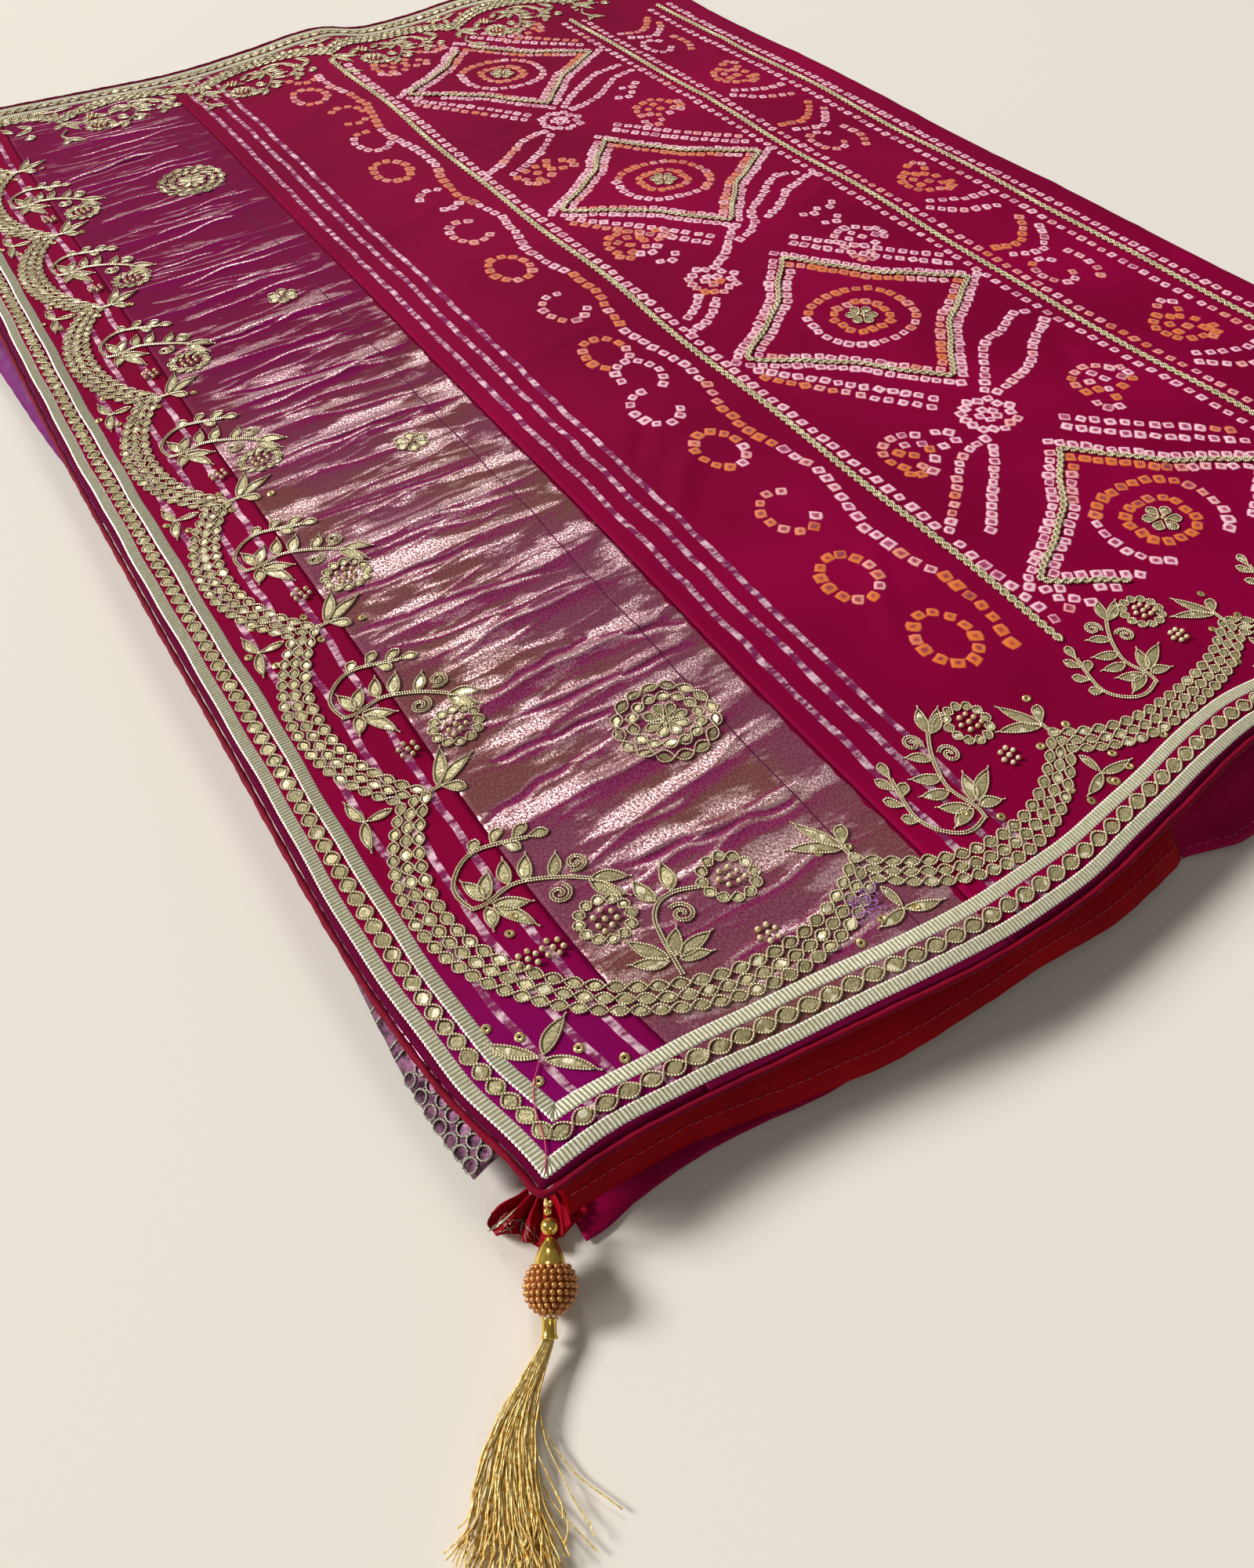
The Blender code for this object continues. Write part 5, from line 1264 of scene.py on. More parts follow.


# Tied and dyed dots, charted in flat mm. Tint runs from pale pink (0) to orange (1).
dots = {
    "pitch": 9.2, "size": 7.9, "least": 6.3, "ring": (0.30, 0.74, 1.0), "zone": (0.35, 1.0, 0.0),
    "lift": (0.30, 0.26, 0.24, -0.02),
    # a small beast or dancer: points and pitch of its body, crest, legs and curled tail
    "figure": [([(-18, -4), (-12, 9), (2, 13), (14, 8), (19, -3)], 1.0),
        ([(-18, 4), (-23, -6), (-20, -16)], 0.8), ([(-14, 0), (-12, -12), (-14, -21)], 0.85),
        ([(-4, 3), (6, 1), (12, -8)], 1.0), ([(-3, -7), (-1, -19)], 0.8), ([(8, -14), (14, -22)], 0.8),
        ([(20, -9), (27, -14), (29, -23), (23, -27)], 0.9)],
    # between neighbouring diamonds: a flower, a pod towards the second gota line, a pair of drops
    # towards the first, and a figure on each side
    "stars": [(487, 270), (437, 505), (489, 812), (470, 1040)],
    "pods": [([(511, 286), (535, 291), (556, 300), (575, 316), (604, 334)], (0.1, 0.2), 0.9),
        ([(505, 292), (522, 309), (544, 333), (566, 340), (590, 352), (600, 350)], (0, 0), 0.9),
        ([(465, 243), (450, 226), (428, 206), (406, 184)], (0.3, 0.05), 0.85),
        ([(467, 252), (444, 247), (425, 232), (404, 213), (385, 197)], (0.5, 0.1), 0.9),
        ([(489, 542), (512, 554), (526, 577), (550, 594), (579, 617), (598, 613)], (0, 0), 0.88),
        ([(531, 560), (554, 575), (572, 590), (596, 600), (611, 606)], (0, 0.1), 0.9),
        ([(416, 492), (404, 480), (393, 474)], (0, 0), 0.9),
        ([(424, 482), (405, 464), (386, 457)], (0, 0.1), 0.9),
        ([(455, 523), (476, 540), (500, 566)], (0, 0), 0.9),
        ([(512, 828), (534, 834), (556, 846), (580, 866), (603, 872)], (0.1, 0), 0.9),
        ([(508, 836), (524, 852), (548, 870), (570, 884), (600, 890)], (0, 0), 0.9),
        ([(466, 790), (448, 772), (426, 756), (404, 744)], (0.2, 0.05), 0.9),
        ([(465, 800), (442, 795), (422, 780), (400, 764), (386, 757)], (0.4, 0.1), 0.9)],
    "crumbs": [(556, 548), (574, 551), (562, 529), (414, 566), (420, 548), (574, 842), (560, 826)],
    "figures": [(416, 270, 1, 35, (0.9, 0.35)), (574, 262, -1, 200, (0.5, 1.0)),
        (420, 742, 1, 30, (0.35, 0.9)), (574, 790, -1, 195, (0.95, 0.5)), (566, 500, -1, 205, (0.15, 0.3)),
        (414, 590, 1, 30, (0.9, 0.5)), (416, 1012, 1, 25, (0.8, 0.4)), (566, 1030, -1, 190, (0.5, 0.9)),
        (578, 100, -1, 190, (0.7, 1.0))],
    # rings of the garland beside the first line: along, across, warmth, start and share
    "rings": [(324, 134, 1.0, 30, 1.0), (312, 198, 1.0, 30, 1.0), (318, 262, 0.7, 60, 0.72),
        (320, 333, 1.0, 10, 1.0), (312, 393, 0.1, 80, 0.7), (324, 430, 0.25, 300, 0.66),
        (319, 465, 1.0, 20, 1.0), (326, 532, 0.2, 70, 0.72), (321, 603, 1.0, 45, 1.0),
        (324, 674, 0.3, 60, 0.72), (330, 738, 0.15, 250, 0.74), (320, 806, 1.0, 15, 1.0),
        (330, 866, 0.3, 80, 0.75), (334, 925, 0.9, 240, 0.7), (322, 984, 0.8, 30, 1.0),
        (334, 1036, 0.6, 80, 0.7)],
    # rows beside the second and third lines: along, first, last, tint, pitch and size
    "straight": [(613, 92, 1012, (0.1, 0.2), 1.12, 0.92), (636, 86, 1010, (0.3, 0.1), 1.12, 0.92),
        (737.5, 82, 1004, (0.0, 0.0), 1.06, 1.0), (711.5, 92, 1000, (0.5, 0.0), 1.12, 0.95)],
    "upper": (120, 253, 386, 519, 652, 785, 918),
}
dotRows = []


def dotRow(points, tint=(0.0, 0.0), pitch=1.0, size=1.0, closed=False, fine=5):
    # dots set evenly along a rounded line, with the tint at its start and end
    line = smoothLine(list(points) + ([points[0]] if closed else []), fine)
    s = distances(line)
    t = np.linspace(0, s[-1], max(round(s[-1] / (dots["pitch"] * pitch)), 1) + 1)
    if closed:
        t = t[:-1]
    u, v = (np.interp(t, s, line[:, n]) for n in range(2))
    du, dv = (np.interp(t + 1, s, line[:, n]) - np.interp(t - 1, s, line[:, n]) for n in range(2))
    dotRows.append(np.stack([u, v, du, dv, np.linspace(*tint, len(t)), np.full(len(t), size)], axis=1))


def dotRing(along, across, halfAlong, halfAcross, tint, start=0.0, share=1.0, pitch=1.0, square=0.0):
    # closed ring of dots, or part of one
    turn = np.linspace(0, 1, 17 if share < 1 else 16, endpoint=share < 1)
    turn = np.radians(start) + 2 * np.pi * share * turn
    grow = 1 + square * np.abs(np.sin(2 * turn))
    points = np.stack([along + halfAlong * grow * np.cos(turn), across + halfAcross * grow * np.sin(turn)], 1)
    dotRow(points.tolist(), tint, pitch, closed=share == 1)


def dotFigure(along, across, way, turn, tint):
    c, s = math.cos(math.radians(turn)), math.sin(math.radians(turn))
    back = (tint[1], tint[0])
    for k, (points, pitch) in enumerate(dots["figure"]):
        placed = [(along + x * c - y * way * s, across + x * s + y * way * c) for x, y in points]
        dotRow(placed, {1: back, 6: (tint[1], 0.3)}.get(k, tint), pitch)


def chartDiamonds():
    for row in diamonds:
        name, along, across, halfAlong, halfAcross = row
        for grow, tint, pitch in ((-10, 0.25, 0.88), (9.5, 0.0, 0.85)):
            line = diamondOutline(row, 14, grow) / mm
            for k in range(4):
                warm = tint + (0.55 if k in (1, 2) and grow < 0 else 0.0)
                dotRow(line[k * 14:k * 14 + 14].tolist(), (warm, tint), pitch, fine=1)
        dotRing(along, across, 38, 33, (0.15, 0.95), 150, pitch=0.95, square=0.07)
        dotRing(along, across, 18.5, 16.5, (0.85, 1.0), 20, pitch=0.92, square=0.16)
        for k in range(4):
            turn = math.radians(45 + 90 * k)
            x, y = along + 10 * math.cos(turn), across + 9 * math.sin(turn)
            dotRow([(x, y), (x + 1, y + 1)], (1, 1), 3.0)
        # rows further out, along the two sides that face the gota lines
        for out, warm in ((24, 0.05), (37, 0.35)):
            dotRow([(along + 8 + out * 0.55, across + halfAcross + out * 0.62),
                    (along + halfAlong * 0.45 + out * 0.55, across + halfAcross * 0.5 + out * 0.75),
                    (along + halfAlong + out * 0.12, across + out * 0.95)], (0.0, warm))
        for out, warm in ((22, 0.05), (35, 0.45)):
            dotRow([(along - halfAlong - out * 0.10, across - out * 0.7),
                    (along - halfAlong * 0.5 - out * 0.50, across - halfAcross * 0.5 - out * 0.7),
                    (along - out * 0.6 - 14, across - halfAcross - out * 0.55)], (warm, 0.0))


def chartGaps():
    turn = 2 * np.pi * np.arange(32) / 32
    size = 16.5 * (1 + 0.13 * np.cos(8 * turn))
    for along, across in dots["stars"]:
        # a scalloped ring with a small one in it
        ring = np.stack([along + size * np.cos(turn), across + size * np.sin(turn)], axis=1)
        dotRow(ring.tolist(), (0.05, 0.4), 0.88, closed=True, fine=2)
        dotRing(along, across, 5.6, 5.6, (0.05, 0.4), 20, pitch=0.8)
    for row in dots["pods"]:
        dotRow(*row)
    for u, v in dots["crumbs"]:
        dotRow([(u, v), (u + 9, v - 3), (u + 16, v + 3)], (0, 0.1), 0.9)
    for row in dots["figures"]:
        dotFigure(*row)


def chartLines():
    # rows beside the three gota lines, and the garland with its rings hung beside the first
    dotRow([(381.5, v) for v in np.linspace(112, 1040, 40)], (0.05, 0.1), 1.12, fine=2)
    garland = [(352 + 6 * math.sin(2 * math.pi * v / 132.0 + 0.6), v)
               for v in (112 + 28.5 * k for k in range(33))]
    for k, ends in enumerate(zip(garland, garland[1:])):
        warm = 0.5 + 0.5 * math.sin(k * 0.9 + 1.2)
        dotRow(ends, (warm, warm), 1.02, 1.08)
    for along, across, warm, start, share in dots["rings"]:
        dotRing(along, across, 15.0, 19.5, (warm, warm * 0.8), start, share)
    for along, first, last, tint, pitch, size in dots["straight"]:
        dotRow([(along, v) for v in np.linspace(first, last, 38)], tint, pitch, size, fine=2)


def chartUpperBand():
    # figures and zigzags between the second and third gota lines, two kinds in turn
    for k, v in enumerate(dots["upper"]):
        if k % 2:
            dotFigure(672, v + 22, 1, 95, (0.9, 1.0))
            dotRow([(648, v - 16), (668, v - 34), (694, v - 44)], (0.2, 0.6))
            dotRow([(656, v - 8), (680, v - 20), (700, v - 22)], (0.0, 0.3))
        else:
            dotRing(660, v - 6, 12, 18, (0.1, 0.35), 40, 0.8)
            dotRow([(652, v + 28), (674, v + 20), (690, v + 34), (699, v + 48)], (0.0, 0.2))
            dotRow([(648, v + 42), (668, v + 38), (684, v + 50), (696, v + 66)], (0.5, 0.8))
            dotRow([(684, v - 30), (692, v - 12), (690, v + 8)], (0.8, 0.2))


def openDots():
    # rows of the charted dots that lie clear of the border, of each other and of the ropes
    rows = np.concatenate(dotRows)
    rows = rows[(rows[:, 1] > 108) & (rows[:, 1] < width / mm - 84) & (rows[:, 0] < 748)]
    kept = [0]
    for k in range(1, len(rows)):
        gaps = rows[kept[-400:], :2] - rows[k, :2]
        if np.hypot(gaps[:, 0], gaps[:, 1]).min() > dots["least"]:
            kept.append(k)
    rows = rows[kept]
    u, v = rows[:, 0], rows[:, 1]
    onRope = np.zeros(len(u), bool)
    for name, along, first, last in gotaLines:
        onRope |= (np.abs(u - along) < 5.6) & (v > first) & (v < last)
    for row in diamonds:
        line = diamondOutline(row, 40) / mm
        gap = np.hypot(line[None, :, 0] - u[:, None], line[None, :, 1] - v[:, None]).min(axis=1)
        onRope |= (gap < 5.2) | (np.hypot(row[1] - u, row[2] - v) < 11)
    return rows[~onRope].T


def makeDots():
    chartDiamonds()
    chartGaps()
    chartLines()
    chartUpperBand()
    rng = np.random.default_rng(5)
    u, v, du, dv, tint, grow = openDots()
    count = len(u)
    patchy = 0.5 * np.sin(u / 31 + v / 47) * np.sin(v / 39 - u / 53)
    tint = tint + patchy * (0.15 < tint) * (tint < 0.85) + rng.normal(0, 0.14, count)
    tint = np.clip(0.5 + 1.8 * (tint - 0.5), 0, 1)
    way = np.arctan2(dv, du) + rng.normal(0, 0.16, count)
    long = dots["size"] * grow * rng.uniform(0.86, 1.06, count) / 2
    wide = long * rng.uniform(0.84, 1.14, count)
    u, v = u + rng.normal(0, 0.35, count), v + rng.normal(0, 0.35, count)
    speck = rng.uniform(0.7, 1.5, count) * np.where(rng.random(count) < 0.12, 1.6, 1.0)
    # each dot is a centre and three rings of points, squared a little and uneven
    sides = 8
    c, s = circle(sides)
    rough = (1 + rng.normal(0, 0.055, (count, sides))) / np.maximum(np.abs(c), np.abs(s)) ** 0.7
    x, y = [np.zeros((count, 1))], [np.zeros((count, 1))]
    for n, reach in enumerate(dots["ring"]):
        size = rough * reach * (speck[:, None] if n == 0 else 1.0)
        x.append(size * c * long[:, None])
        y.append(size * s * wide[:, None])
    x, y = np.concatenate(x, axis=1), np.concatenate(y, axis=1)
    c, s = np.cos(way)[:, None], np.sin(way)[:, None]
    lift, zone = (np.repeat(levels, [1, sides, sides, sides])
                  for levels in (np.array(dots["lift"]) * mm, (0.0,) + dots["zone"]))
    points = onCloth((u[:, None] + x * c - y * s) * mm, (v[:, None] + x * s + y * c) * mm,
                     np.broadcast_to(lift, x.shape))
    faces = [(0, 1 + k, 1 + (k + 1) % sides) for k in range(sides)]
    faces += loftFaces(3, sides, flip=True, caps=False, first=1)
    size = x.shape[1]
    finishPiece(newMesh("resistDots", points, [tuple(i + k * size for i in face) for k in range(count)
                                               for face in faces], dyedDots,
                        values={"zone": np.tile(zone, count), "tint": np.repeat(tint, size)}))
    print("dots:", count)


makeDots()


# The hidden layers: one rounded stack whose sides show the turned edges of seven plies, each
# with its rings as share of the ply's height and inset, and sways of its outline
stack = {
    "inset": 0.0125, "corner": 0.020, "plies": 7, "top": 0.0268, "lean": 0.0016, "in": 0.0018,
    "rings": [(0.02, 0.0021), (0.14, 0.0006), (0.45, 0.0), (0.80, 0.0003), (0.96, 0.0014)], "topInset": 0.006,
    "fill": 0.12, "sways": [(0.0016, 1, 0.23, 1.0), (0.0010, 2, 0.171, 1.7), (0.0004, 1, 0.027, 2.3)],
}


def stackOutline(inset, shift):
    low, high = stack["inset"] + inset, width - stack["inset"] - inset
    end, corner = foldStart - inset, stack["corner"]
    near = np.linspace(low + corner, end, 150)
    turn = np.linspace(0, np.pi / 2, 9)[1:-1]
    c, s = corner * np.cos(turn), corner * np.sin(turn)
    # near side, fold end, far side, far corner, pallu end and near corner
    u = np.concatenate([near, np.full(20, end), near[::-1], low + corner - s, np.full(200, low),
                        low + corner - c])
    v = np.concatenate([np.full(150, low), np.linspace(low, high, 22)[1:-1], np.full(150, high),
                        high - corner + c, np.linspace(high - corner, low + corner, 200),
                        low + corner - s])
    inU = np.repeat([0, 1, 0], [327, 200, 7])
    inV = np.repeat([1, 0, -1, 0], [150, 20, 150, 214])
    sway = sum(height * np.sin(2 * np.pi * (u + lean * v) / length + beat * shift)
               for height, lean, length, beat in stack["sways"])
    return np.stack(spread(u + inU * sway, v + inV * sway), axis=1)


def makeStack():
    plies, rings = stack["plies"], []
    for ply in range(plies):
        lean = stack["lean"] * (1 - ply / (plies - 1))
        for part, inset in stack["rings"]:
            z = 0.0 if ply == 0 and part < 0.1 else (ply + part) * stack["top"] / plies
            rings.append((stackOutline(inset - lean + stack["in"], 1.9 * ply), z))
    rings.append((stackOutline(stack["topInset"], 0.0), stack["top"]))
    points = [np.column_stack([flat, np.full(len(flat), z)]) for flat, z in rings]
    made = newMesh("foldedLayers", points, loftFaces(len(points), len(points[0])), stackCloth)
    finishPiece(made, "folded_layers")


# Stretches of lower layers past the hem. Tables are in mm: place along the edge, how far the ply
# comes out, and its profile from under the sheet (share, height).
ledges = {
    "redLining": {"node": "red_lining", "side": "near", "tuck": 11.45, "ripple": 0.7, "material": redLining,
        "place": [4, 28, 68, 86, 117, 154, 197, 235, 290, 329, 336],
        "out": [10, 11, 12, 14, 17, 17.5, 13.5, 12.5, 18, 19, 18],
        "profile": ([0, 0.30, 0.58, 0.82, 1.0], [22, 21.6, 19, 13.5, 7.8])},
    "magentaPly": {"node": "magenta_ply", "side": "near", "tuck": 10.65, "ripple": 0.2, "material": pinkSatin,
        "place": [5, 14, 30, 44, 67, 95, 125, 160], "out": [20, 20.5, 18.5, 17, 15.5, 15.5, 16, 11],
        "profile": ([0, 0.35, 0.7, 1.0], [3.4, 3.6, 3.0, 1.9])},
    "pinkPly": {"node": "pink_ply", "side": "near", "tuck": 12.45, "ripple": 0.9, "material": pinkSatin,
        "place": [341, 372, 420, 480, 550, 640, 700, 752], "out": [18, 33, 35, 32, 30, 27, 24, 20],
        "profile": ([0, 0.25, 0.5, 0.68, 0.8, 1.0], [17, 16.8, 13, 7.6, 7.4, 3.6])},
    "violetPly": {"node": "violet_ply", "side": "pallu", "tuck": 11.85, "ripple": 0.6,
        "material": violetSatin, "place": [505, 545, 584, 614, 657, 700, 760, 850, 930, 980],
        "out": [3, 4, 7, 10, 13, 16, 19, 17, 10, 4],
        "profile": ([0, 0.4, 0.75, 1.0], [21.6, 21.4, 17.5, 11])},
    "zariPly": {"node": "zari_ply", "side": "pallu", "tuck": 12.5, "ripple": 0.5, "material": lowerTissue,
        "place": [22, 34, 60, 78, 105, 125, 150, 190], "out": [17, 15, 13, 11, 8, 6, 5, 3],
        "profile": ([0, 0.35, 0.7, 1.0], [20, 20, 17, 10.5])},
}
lowerWall = 0.0009
# stitches: ply, share of the way out, step and length in mm
stitchRows = [("liningStitches", "redLining", 0.80, 4.4, 3.0), ("plyStitches", "pinkPly", 0.90, 4.8, 3.2)]
lowerGota = {"loops": (25, 31.5, 38, 45.5, 53, 61, 70), "bars": (84, 90, 104, 110)}


def ledgePoint(look, place, share, lift=0.0):
    # a point of a ply, place in mm along its edge and share of the way out
    place, share = np.broadcast_arrays(np.asarray(place, float), np.asarray(share, float))
    out = smoothTable((look["place"], look["out"]), place)
    fine = 0.5 * np.sin(place / 3.7 + 1.1) * np.sin(place / 11.0 + 2.0)
    reach = (out * share - look["tuck"] * (1 - share) + fine * 0.5 * share) * mm
    wave = look["ripple"] * np.sin(2 * np.pi * place / 61.0 + 1.3)
    height = (np.interp(share, *look["profile"]) + (wave + fine * 0.55) * share + lift) * mm
    edge = np.zeros_like(place)
    if look["side"] == "near":
        x, y = spread(place * mm, edge)
        return np.stack([x, y - reach, height], axis=-1)
    x, y = spread(edge, place * mm)
    return np.stack([x - reach, y, height], axis=-1)


def lowerPiece(name, node, grid, places, material):
    # a stretch of a lower layer, made from its own grid
    made = gridShell(name, grid, np.stack(np.broadcast_arrays(*places), axis=-1), lowerWall, material)
    finishPiece(made, node)


def makeLedges():
    share = np.linspace(0, 1, 15)
    for name, look in ledges.items():
        first, last = look["place"][0], look["place"][-1]
        place = np.linspace(first, last, max(round((last - first) / 2.6), 12) + 1)
        grid = ledgePoint(look, place[:, None], share[None, :])
        # the profile's corners are eased, so the ply bends softly
        for _ in range(2):
            grid[:, 1:-1] = 0.25 * grid[:, :-2] + 0.5 * grid[:, 1:-1] + 0.25 * grid[:, 2:]
        if look["side"] == "near":
            grid = grid[:, ::-1]
        lowerPiece(name, look["node"], grid, (place[:, None] * mm, share[None, :] * 0.03), look["material"])


def makeStitches():
    # running stitch along two plies, and folded gota on the edge of the tissue ply, which is the
    # end of a lower layer's border
    parts = []
    for name, ply, out, step, size in stitchRows:
        rng = np.random.default_rng(len(name))
        look, lines = ledges[ply], []
        for place in np.arange(look["place"][0] + 3, look["place"][-1] - 3, step):
            start = place + rng.uniform(-0.3, 0.3)
            arch = 0.35 + 0.22 * np.sin(np.linspace(0, np.pi, 4))
            lines.append(ledgePoint(look, np.linspace(start, start + size, 4),
                                    out + rng.uniform(-0.006, 0.006), arch))
        parts.append(cords(name, lines, 0.00022, 4, pinkThread))
    finishPiece(joined("hemStitches", parts))
    t = np.linspace(0, 2 * np.pi, 13)
    look = ledges["zariPly"]
    lines = [ledgePoint(look, place + 3.1 * np.cos(t) + out * 2, out + 0.10 * np.sin(t), 0.6)
             for place in lowerGota["loops"] for out in (0.70, 0.93)]
    lines += [ledgePoint(look, place, np.linspace(0.45, 1.0, 8), 0.5) for place in lowerGota["bars"]]
    finishPiece(cords("lowerGota", lines, 0.00055, 5, silverCord))


# The gathered corner of the lower layers, with a torn bit of ribbon and net caught in it:
# turn in degrees, reach and rise in mm
ruffle = {
    "turn": [180, 190, 200, 210, 221, 232, 243, 255, 270, 285, 300],
    "reach": [24, 28, 27, 22, 25, 24, 26, 22, 21, 21, 20],
    "rise": [8.0, 4.2, 9.0, 4.0, 8.0, 3.8, 8.2, 4.2, 9.0, 5.0, 7.5], "middle": (0.004, 0.008), "inner": 0.30,
    "threads": 26,
}


def rufflePoint(turn, share, lift=0.0):
    turn, share = np.broadcast_arrays(np.asarray(turn, float), np.asarray(share, float))
    reach, rise = (smoothTable((ruffle["turn"], ruffle[key]), turn) for key in ("reach", "rise"))
    inner, middle, outer = rise * 0.5 + 3.5, rise * 0.9 + 1.2, rise * 0.75 + 0.6
    t = (share - ruffle["inner"]) / (1 - ruffle["inner"])
    height = np.where(t < 0.5, inner + (middle - inner) * t * 2, middle + (outer - middle) * (t * 2 - 1))
    crush = 1.1 * np.sin(turn / 2.6 + 3 * share) * np.sin(share * 9 + turn / 7) * share
    x, y = spread(*(np.full_like(turn, place) for place in ruffle["middle"]))
    size = (reach * share + crush) * mm
    return np.stack([x + size * np.cos(np.radians(turn)), y + size * np.sin(np.radians(turn)),
                     np.maximum(height + crush + lift, 1.2) * mm], axis=-1)


def makeRuffle():
    turn, share = np.linspace(180, 300, 110)[:, None], np.linspace(ruffle["inner"], 1.0, 16)[None, :]
    lowerPiece("cornerRuffle", "corner_ruffle", rufflePoint(turn, share)[:, ::-1],
               (turn * mm, share * 0.02), crimsonLining)
    t = np.linspace(0, 1, 12)
    strip = rufflePoint((189 + 9 * t)[:, None], (0.98 - 0.36 * t)[:, None] + np.linspace(-0.07, 0.07, 4), 0.5)
    ribbon = gridShell("ribbonEnd", strip, np.zeros((12, 4, 2)), 0.0003, gotaRibbon)
    rng = np.random.default_rng(8)
    lines = []
    for k in range(ruffle["threads"]):
        start = rng.uniform(184, 232, 2)[0]
        low, high = rng.uniform(0.70, 1.03, 2)
        lines.append(rufflePoint(start + (rng.uniform(0, 16) - 8) * t, low + (high - low) * t,
                                 0.35 + 2.8 * t * (1 - t)))
    finishPiece(joined("cornerScraps", [ribbon, cords("tornNet", lines, 0.00016, 3, silverCord)]))


# Rolled edge round both selvedges and the pallu end: a soft tube with slight twists
roll = {"out": 0.0019, "drop": 0.0009, "radius": 0.0016, "sides": 8, "counts": (330, 480, 330)}


def makeHemRoll():
    out, (near, pallu, far) = hem + roll["out"], roll["counts"]
    along, across, back = (np.linspace(*ends) for ends in
                           ((legEnd, -out, near), (-out, width + out, pallu), (-out, legEnd, far)))
    u = np.concatenate([along, np.full(pallu - 1, -out), back[1:]])
    v = np.concatenate([np.full(near, -out), across[1:], np.full(far - 1, width + out)])
    x, y = spread(u, v)
    z = clothHeight(np.maximum(u, -hem), np.clip(v, -hem, width + hem)) - roll["drop"]
    path = np.stack([np.convolve(np.pad(row, 2, mode="edge"), np.ones(5) / 5, "valid")
                     for row in (x, y, z)], axis=1)
    side, top = sideAndTop(unit(np.gradient(path, axis=0)))
    k = np.arange(len(path))[:, None]
    turn = 2 * np.pi * np.arange(roll["sides"]) / roll["sides"]
    radius = roll["radius"] * (1 + 0.10 * np.sin(k * 0.61 + 2 * turn) + 0.06 * np.sin(k * 1.7 + turn))
    points = path[:, None] + radius[..., None] * (np.cos(turn)[:, None] * side[:, None]
                                                  + np.sin(turn)[:, None] * top[:, None])
    faces = loftFaces(len(path), roll["sides"], flip=True)
    finishPiece(newMesh("hemRoll", points, faces, redEdge), "hem_roll")


makeStack()
makeLedges()
makeStitches()
makeRuffle()
makeHemRoll()
print("lower layers made")


# Tassel on the near pallu corner: places in mm from the corner of the gota, and heights.
# Profiles are (share of the way, radius in mm).
tassel = {
    "loopStart": (2.2, 0.8, 0.0), "smallBead": (-3.6, -6.6, 17.0), "bead": (-5.6, -11.0, 14.6),
    "capTop": (-7.4, -14.4, 13.4), "capBase": (-12.9, -23.4, 12.0), "ball": (-15.9, -29.0, 11.0),
    "ferruleStart": (-21.4, -37.2, 8.4), "ferruleEnd": (-25.0, -43.2, 6.4), "ballRadius": 10.5,
    "pearlPitch": 2.6, "pearlRows": 9, "pearlSize": 2.4, "pearlLeans": (46, 160),
    "capProfile": [(0, 1.2), (0, 1.7), (0.05, 2.0), (0.10, 2.3), (0.22, 3.4), (0.36, 4.25), (0.52, 5.0),
        (0.68, 5.55), (0.82, 5.95), (0.90, 6.15), (0.94, 6.45), (0.98, 6.5), (1.0, 6.3), (1.0, 5.6)],
    "ferruleProfile": [(0, 2.3), (0, 3.05), (0.07, 3.25), (0.15, 2.95), (0.24, 2.72), (0.5, 2.66),
        (0.76, 2.72), (0.85, 2.95), (0.93, 3.25), (1, 3.05), (1, 2.3)],
    "strands": 158, "stray": 8, "strandLength": (62, 80), "fan": 34,
}


def fromCorner(key):
    x, y = spread(np.array(0.0), np.array(0.0))
    return np.array([float(x), float(y), 0.0]) + np.array(tassel[key]) * mm


def turned(name, start, end, profile, sides, material):
    # solid turned on the line between two points
    side, top = sideAndTop(unit(end - start))
    c, s = circle(sides)
    ring = np.outer(c, side) + np.outer(s, top)
    points = [start + (end - start) * share + ring * radius * mm for share, radius in profile]
    return newMesh(name, points, loftFaces(len(points), sides, flip=True), material)


def roundProfile(radius, hole, count):
    # a bead from hole to hole
    lean = math.asin(hole / radius)
    turn = np.linspace(lean, math.pi - lean, count)
    return list(zip((np.cos(lean) - np.cos(turn)) / (2 * np.cos(lean)), radius * np.sin(turn)))


def makeTassel():
    small, bead, capTop, capBase, ball, start, end = (fromCorner(key) for key in (
        "smallBead", "bead", "capTop", "capBase", "ball", "ferruleStart", "ferruleEnd"))
    way = unit(capTop - small)
    finishPiece(turned("tasselSmallBead", small - way * 0.00145, small + way * 0.00145,
                       roundProfile(1.62, 0.7, 9), 18, brass), "tassel_small_bead")
    finishPiece(turned("tasselBead", bead - way * 0.0032, bead + way * 0.0032,
                       roundProfile(3.4, 0.9, 13), 26, brass), "tassel_bead")
    finishPiece(turned("tasselCap", capTop, capBase, tassel["capProfile"], 36, brass), "tassel_cap")
    makeBall(ball, unit(start - capBase))
    finishPiece(turned("tasselFerrule", start, end, tassel["ferruleProfile"], 30, brass), "tassel_ferrule")
    makeLoop(small)
    makeStrands(end)


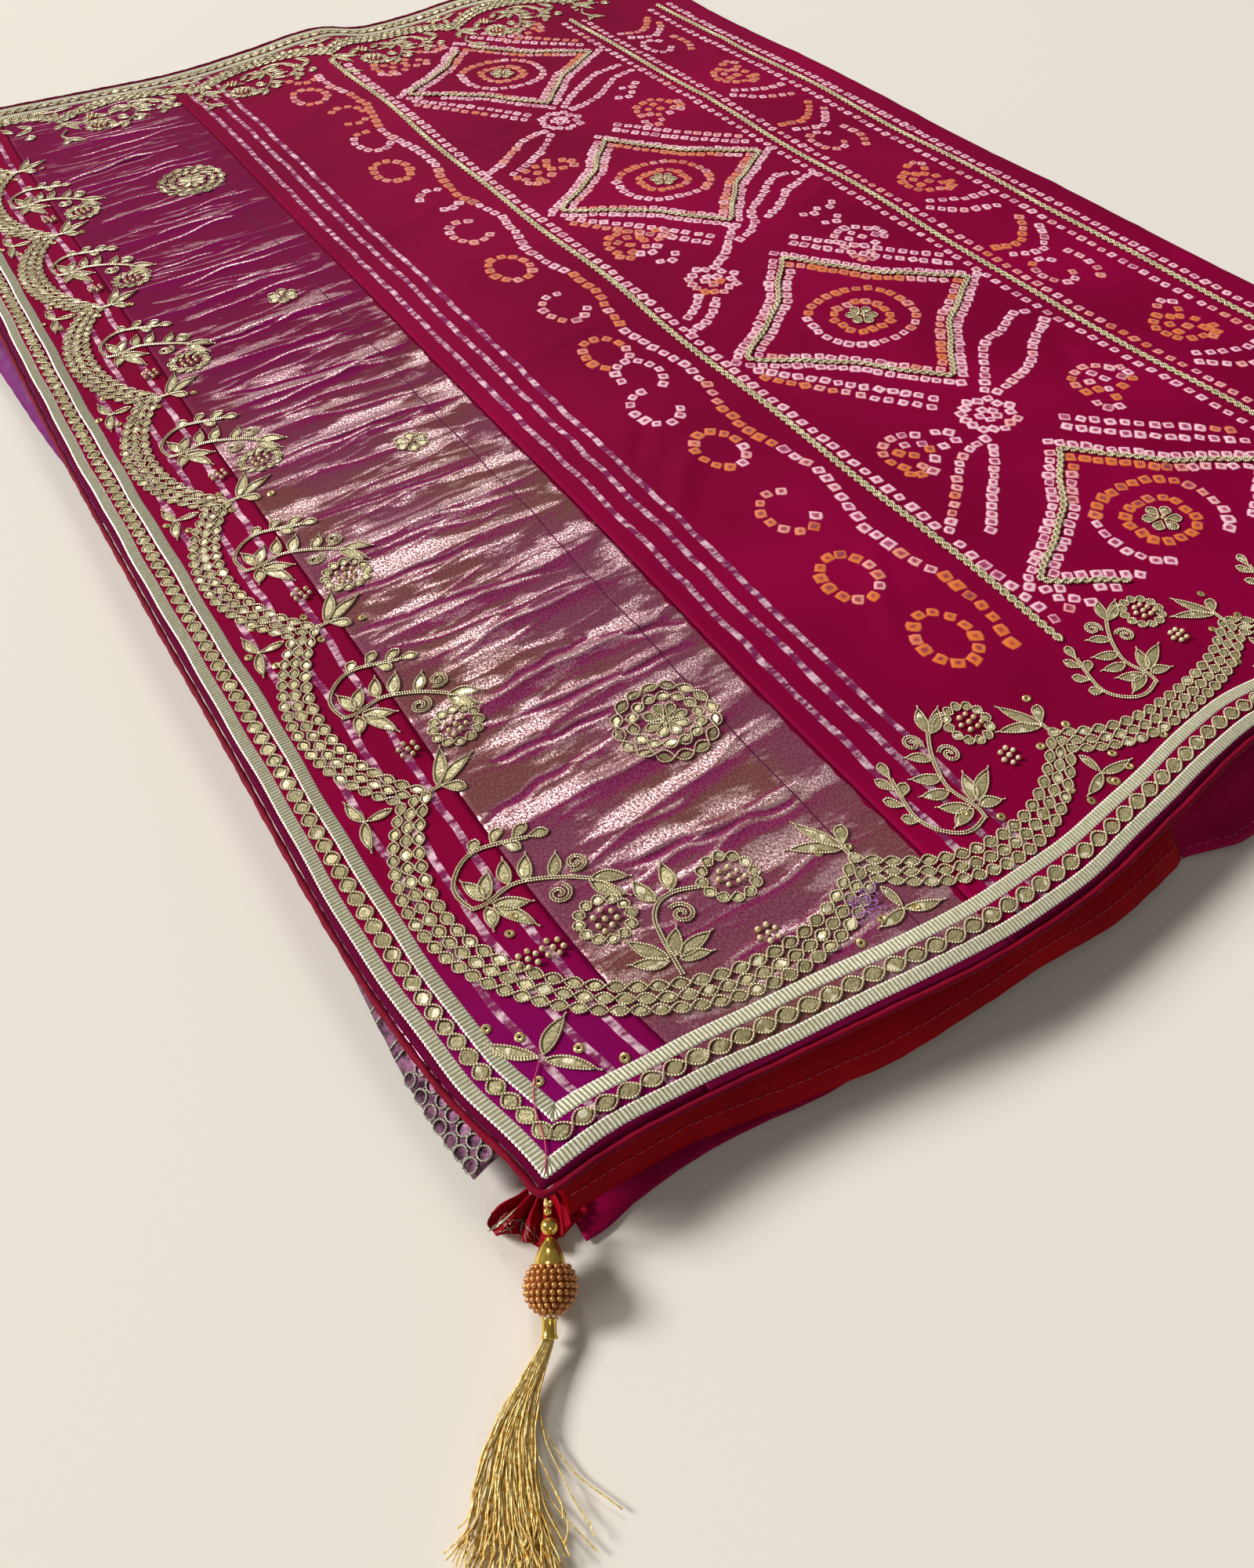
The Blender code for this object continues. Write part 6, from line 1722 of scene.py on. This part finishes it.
def makeBall(middle, way):
    # a wound core sewn over with rows of small pearls
    side, top = sideAndTop(way)
    radius = tassel["ballRadius"] * mm
    low, high = -0.0060, 0.0095
    core = [(share, math.sqrt(max((radius * 0.90) ** 2 - (low + (high - low) * share) ** 2, 1e-8)) / mm)
            for share in np.linspace(0, 1, 12)]
    ball = turned("tasselCore", middle + way * low, middle + way * high, core, 24, orangeCore)
    out = []
    for r, lean in enumerate(np.radians(np.linspace(*tassel["pearlLeans"], tassel["pearlRows"]))):
        reach = (radius - 0.00105) * math.sin(lean)
        count = max(round(2 * math.pi * reach / (tassel["pearlPitch"] * mm)), 5)
        c, s = circle(count, math.pi * (r % 2) / count)
        out.append(reach * (np.outer(c, side) + np.outer(s, top)) - way * (radius - 0.00105) * math.cos(lean))
    out = np.concatenate(out)
    beads = scatter("tasselBallBeads", pearlShape, middle + out, unit(out), np.tile(way, (len(out), 1)),
                    np.full((len(out), 3), tassel["pearlSize"]), copperBead, smooth=True)
    finishPiece(joined("tasselBall", [ball, beads]), "tassel_ball")


def makeLoop(bead):
    # twisted cord from the cloth's corner to the small bead, with its knot
    start = fromCorner("loopStart")
    start[2] = float(clothHeight(*(np.array(place * mm) for place in tassel["loopStart"][:2]))) - 0.0022
    end = bead + (start - bead) * 0.12
    bow = start * 0.55 + end * 0.45 + np.array([-0.0012, -0.001, 0])
    t = np.linspace(0, 1, 34)[:, None]
    path = (1 - t) ** 2 * start + 2 * t * (1 - t) * (2 * bow - (start + end) / 2) + t**2 * end
    ahead = end - start
    way = unit(ahead)
    side, top = sideAndTop(way)
    lines = [path + 0.00048 * (np.cos(t * 19) * side + np.sin(t * 19) * top)]
    knot = np.linspace(0, 2 * np.pi, 40)[:, None]
    c, s = np.cos(knot), np.sin(knot)
    centre = end - ahead * 0.12
    lines.append(centre + 0.0012 * (c * side + s * top * 0.9) + 0.0006 * np.sin(3 * knot) * way)
    lines.append(centre + 0.0012 * (c * side * 0.9 + s * (top * 0.5 + ahead * 30 * mm))
                 + 0.0004 * np.cos(2 * knot) * top)
    finishPiece(cords("tasselLoop", lines, 0.00046, 6, goldThread), "tassel_loop")


def makeStrands(neck):
    # crinkled metallic strands that leave the ferrule together and sweep to one side
    rng = np.random.default_rng(41)
    way, side = np.array([-0.654, -0.756]), np.array([0.756, -0.654])
    t = np.linspace(0, 1, 34)
    clumps = [(x, rng.uniform(-1, 1), rng.normal(0, 1), rng.uniform(0, 6.28)) for x in np.linspace(-1, 1, 15)]
    lines = []
    for k in range(tassel["strands"]):
        across, up, sway, beat = clumps[k % len(clumps)]
        stray = k >= tassel["strands"] - tassel["stray"]
        length = rng.uniform(*tassel["strandLength"]) * (0.78 if stray else 0.97)
        fan = across * 0.5 * tassel["fan"] + rng.normal(0, 1.1) + sway
        if stray:
            fan = rng.uniform(10, 30) * (1 if k % 4 else -0.8)
        bow = 7.0 + 1.2 * sway + 0.8 * rng.normal()
        start = 1.9 * (0.75 * across + 0.25 * rng.uniform(-1, 1))
        offset = start + (fan - start) * t**1.7 - bow * np.sin(np.pi * np.minimum(t * 1.05, 1)) ** 1.2
        crinkle = np.minimum(t * 5, 1) * (0.3 + 0.7 * t)
        phase, wave = rng.uniform(0, 6.28, 2), rng.uniform(3.0, 6.5)
        offset = offset + crinkle * (0.35 * np.sin(t * length / wave * 2 + phase[0])
                                     + 1.0 * np.sin(t * 6 + beat))
        frayed = np.clip((t - 0.80) / 0.20, 0, 1) ** 1.5
        offset = offset + frayed * rng.normal(0, 3.6)
        high = 6.4 + up * 2.1
        rest = 0.8 + 6.0 * (0.5 + 0.5 * up) * (1 - 0.45 * t) + 1.2 * rng.random() * t
        height = rest + (high - rest) * (1 - t) ** 3.2
        height = height + crinkle * 0.35 * np.sin(t * length / wave * 2.3 + phase[1])
        height = np.maximum(height + frayed * rng.uniform(-1, 1.5), 0.55)
        along = length * t + frayed * rng.normal(0, 2.0)
        points = neck[:2] + np.outer(along * mm, way) + np.outer(offset * mm, side)
        lines.append(np.column_stack([points, height * mm]))
    finishPiece(cords("tasselStrands", lines, 0.00036, 3, goldThread), "tassel_strands")


makeTassel()
print("tassel made")


for helper in (plateShape, pearlShape, sequinShape):
    bpy.data.objects.remove(helper, do_unlink=True)
counts = sorted((sum(len(face.vertices) - 2 for face in piece.data.polygons), piece.name)
                for piece in bpy.context.scene.objects if piece.type == "MESH")
print("triangles:", sum(count for count, name in counts), "in all, most in", counts[:-15:-1])
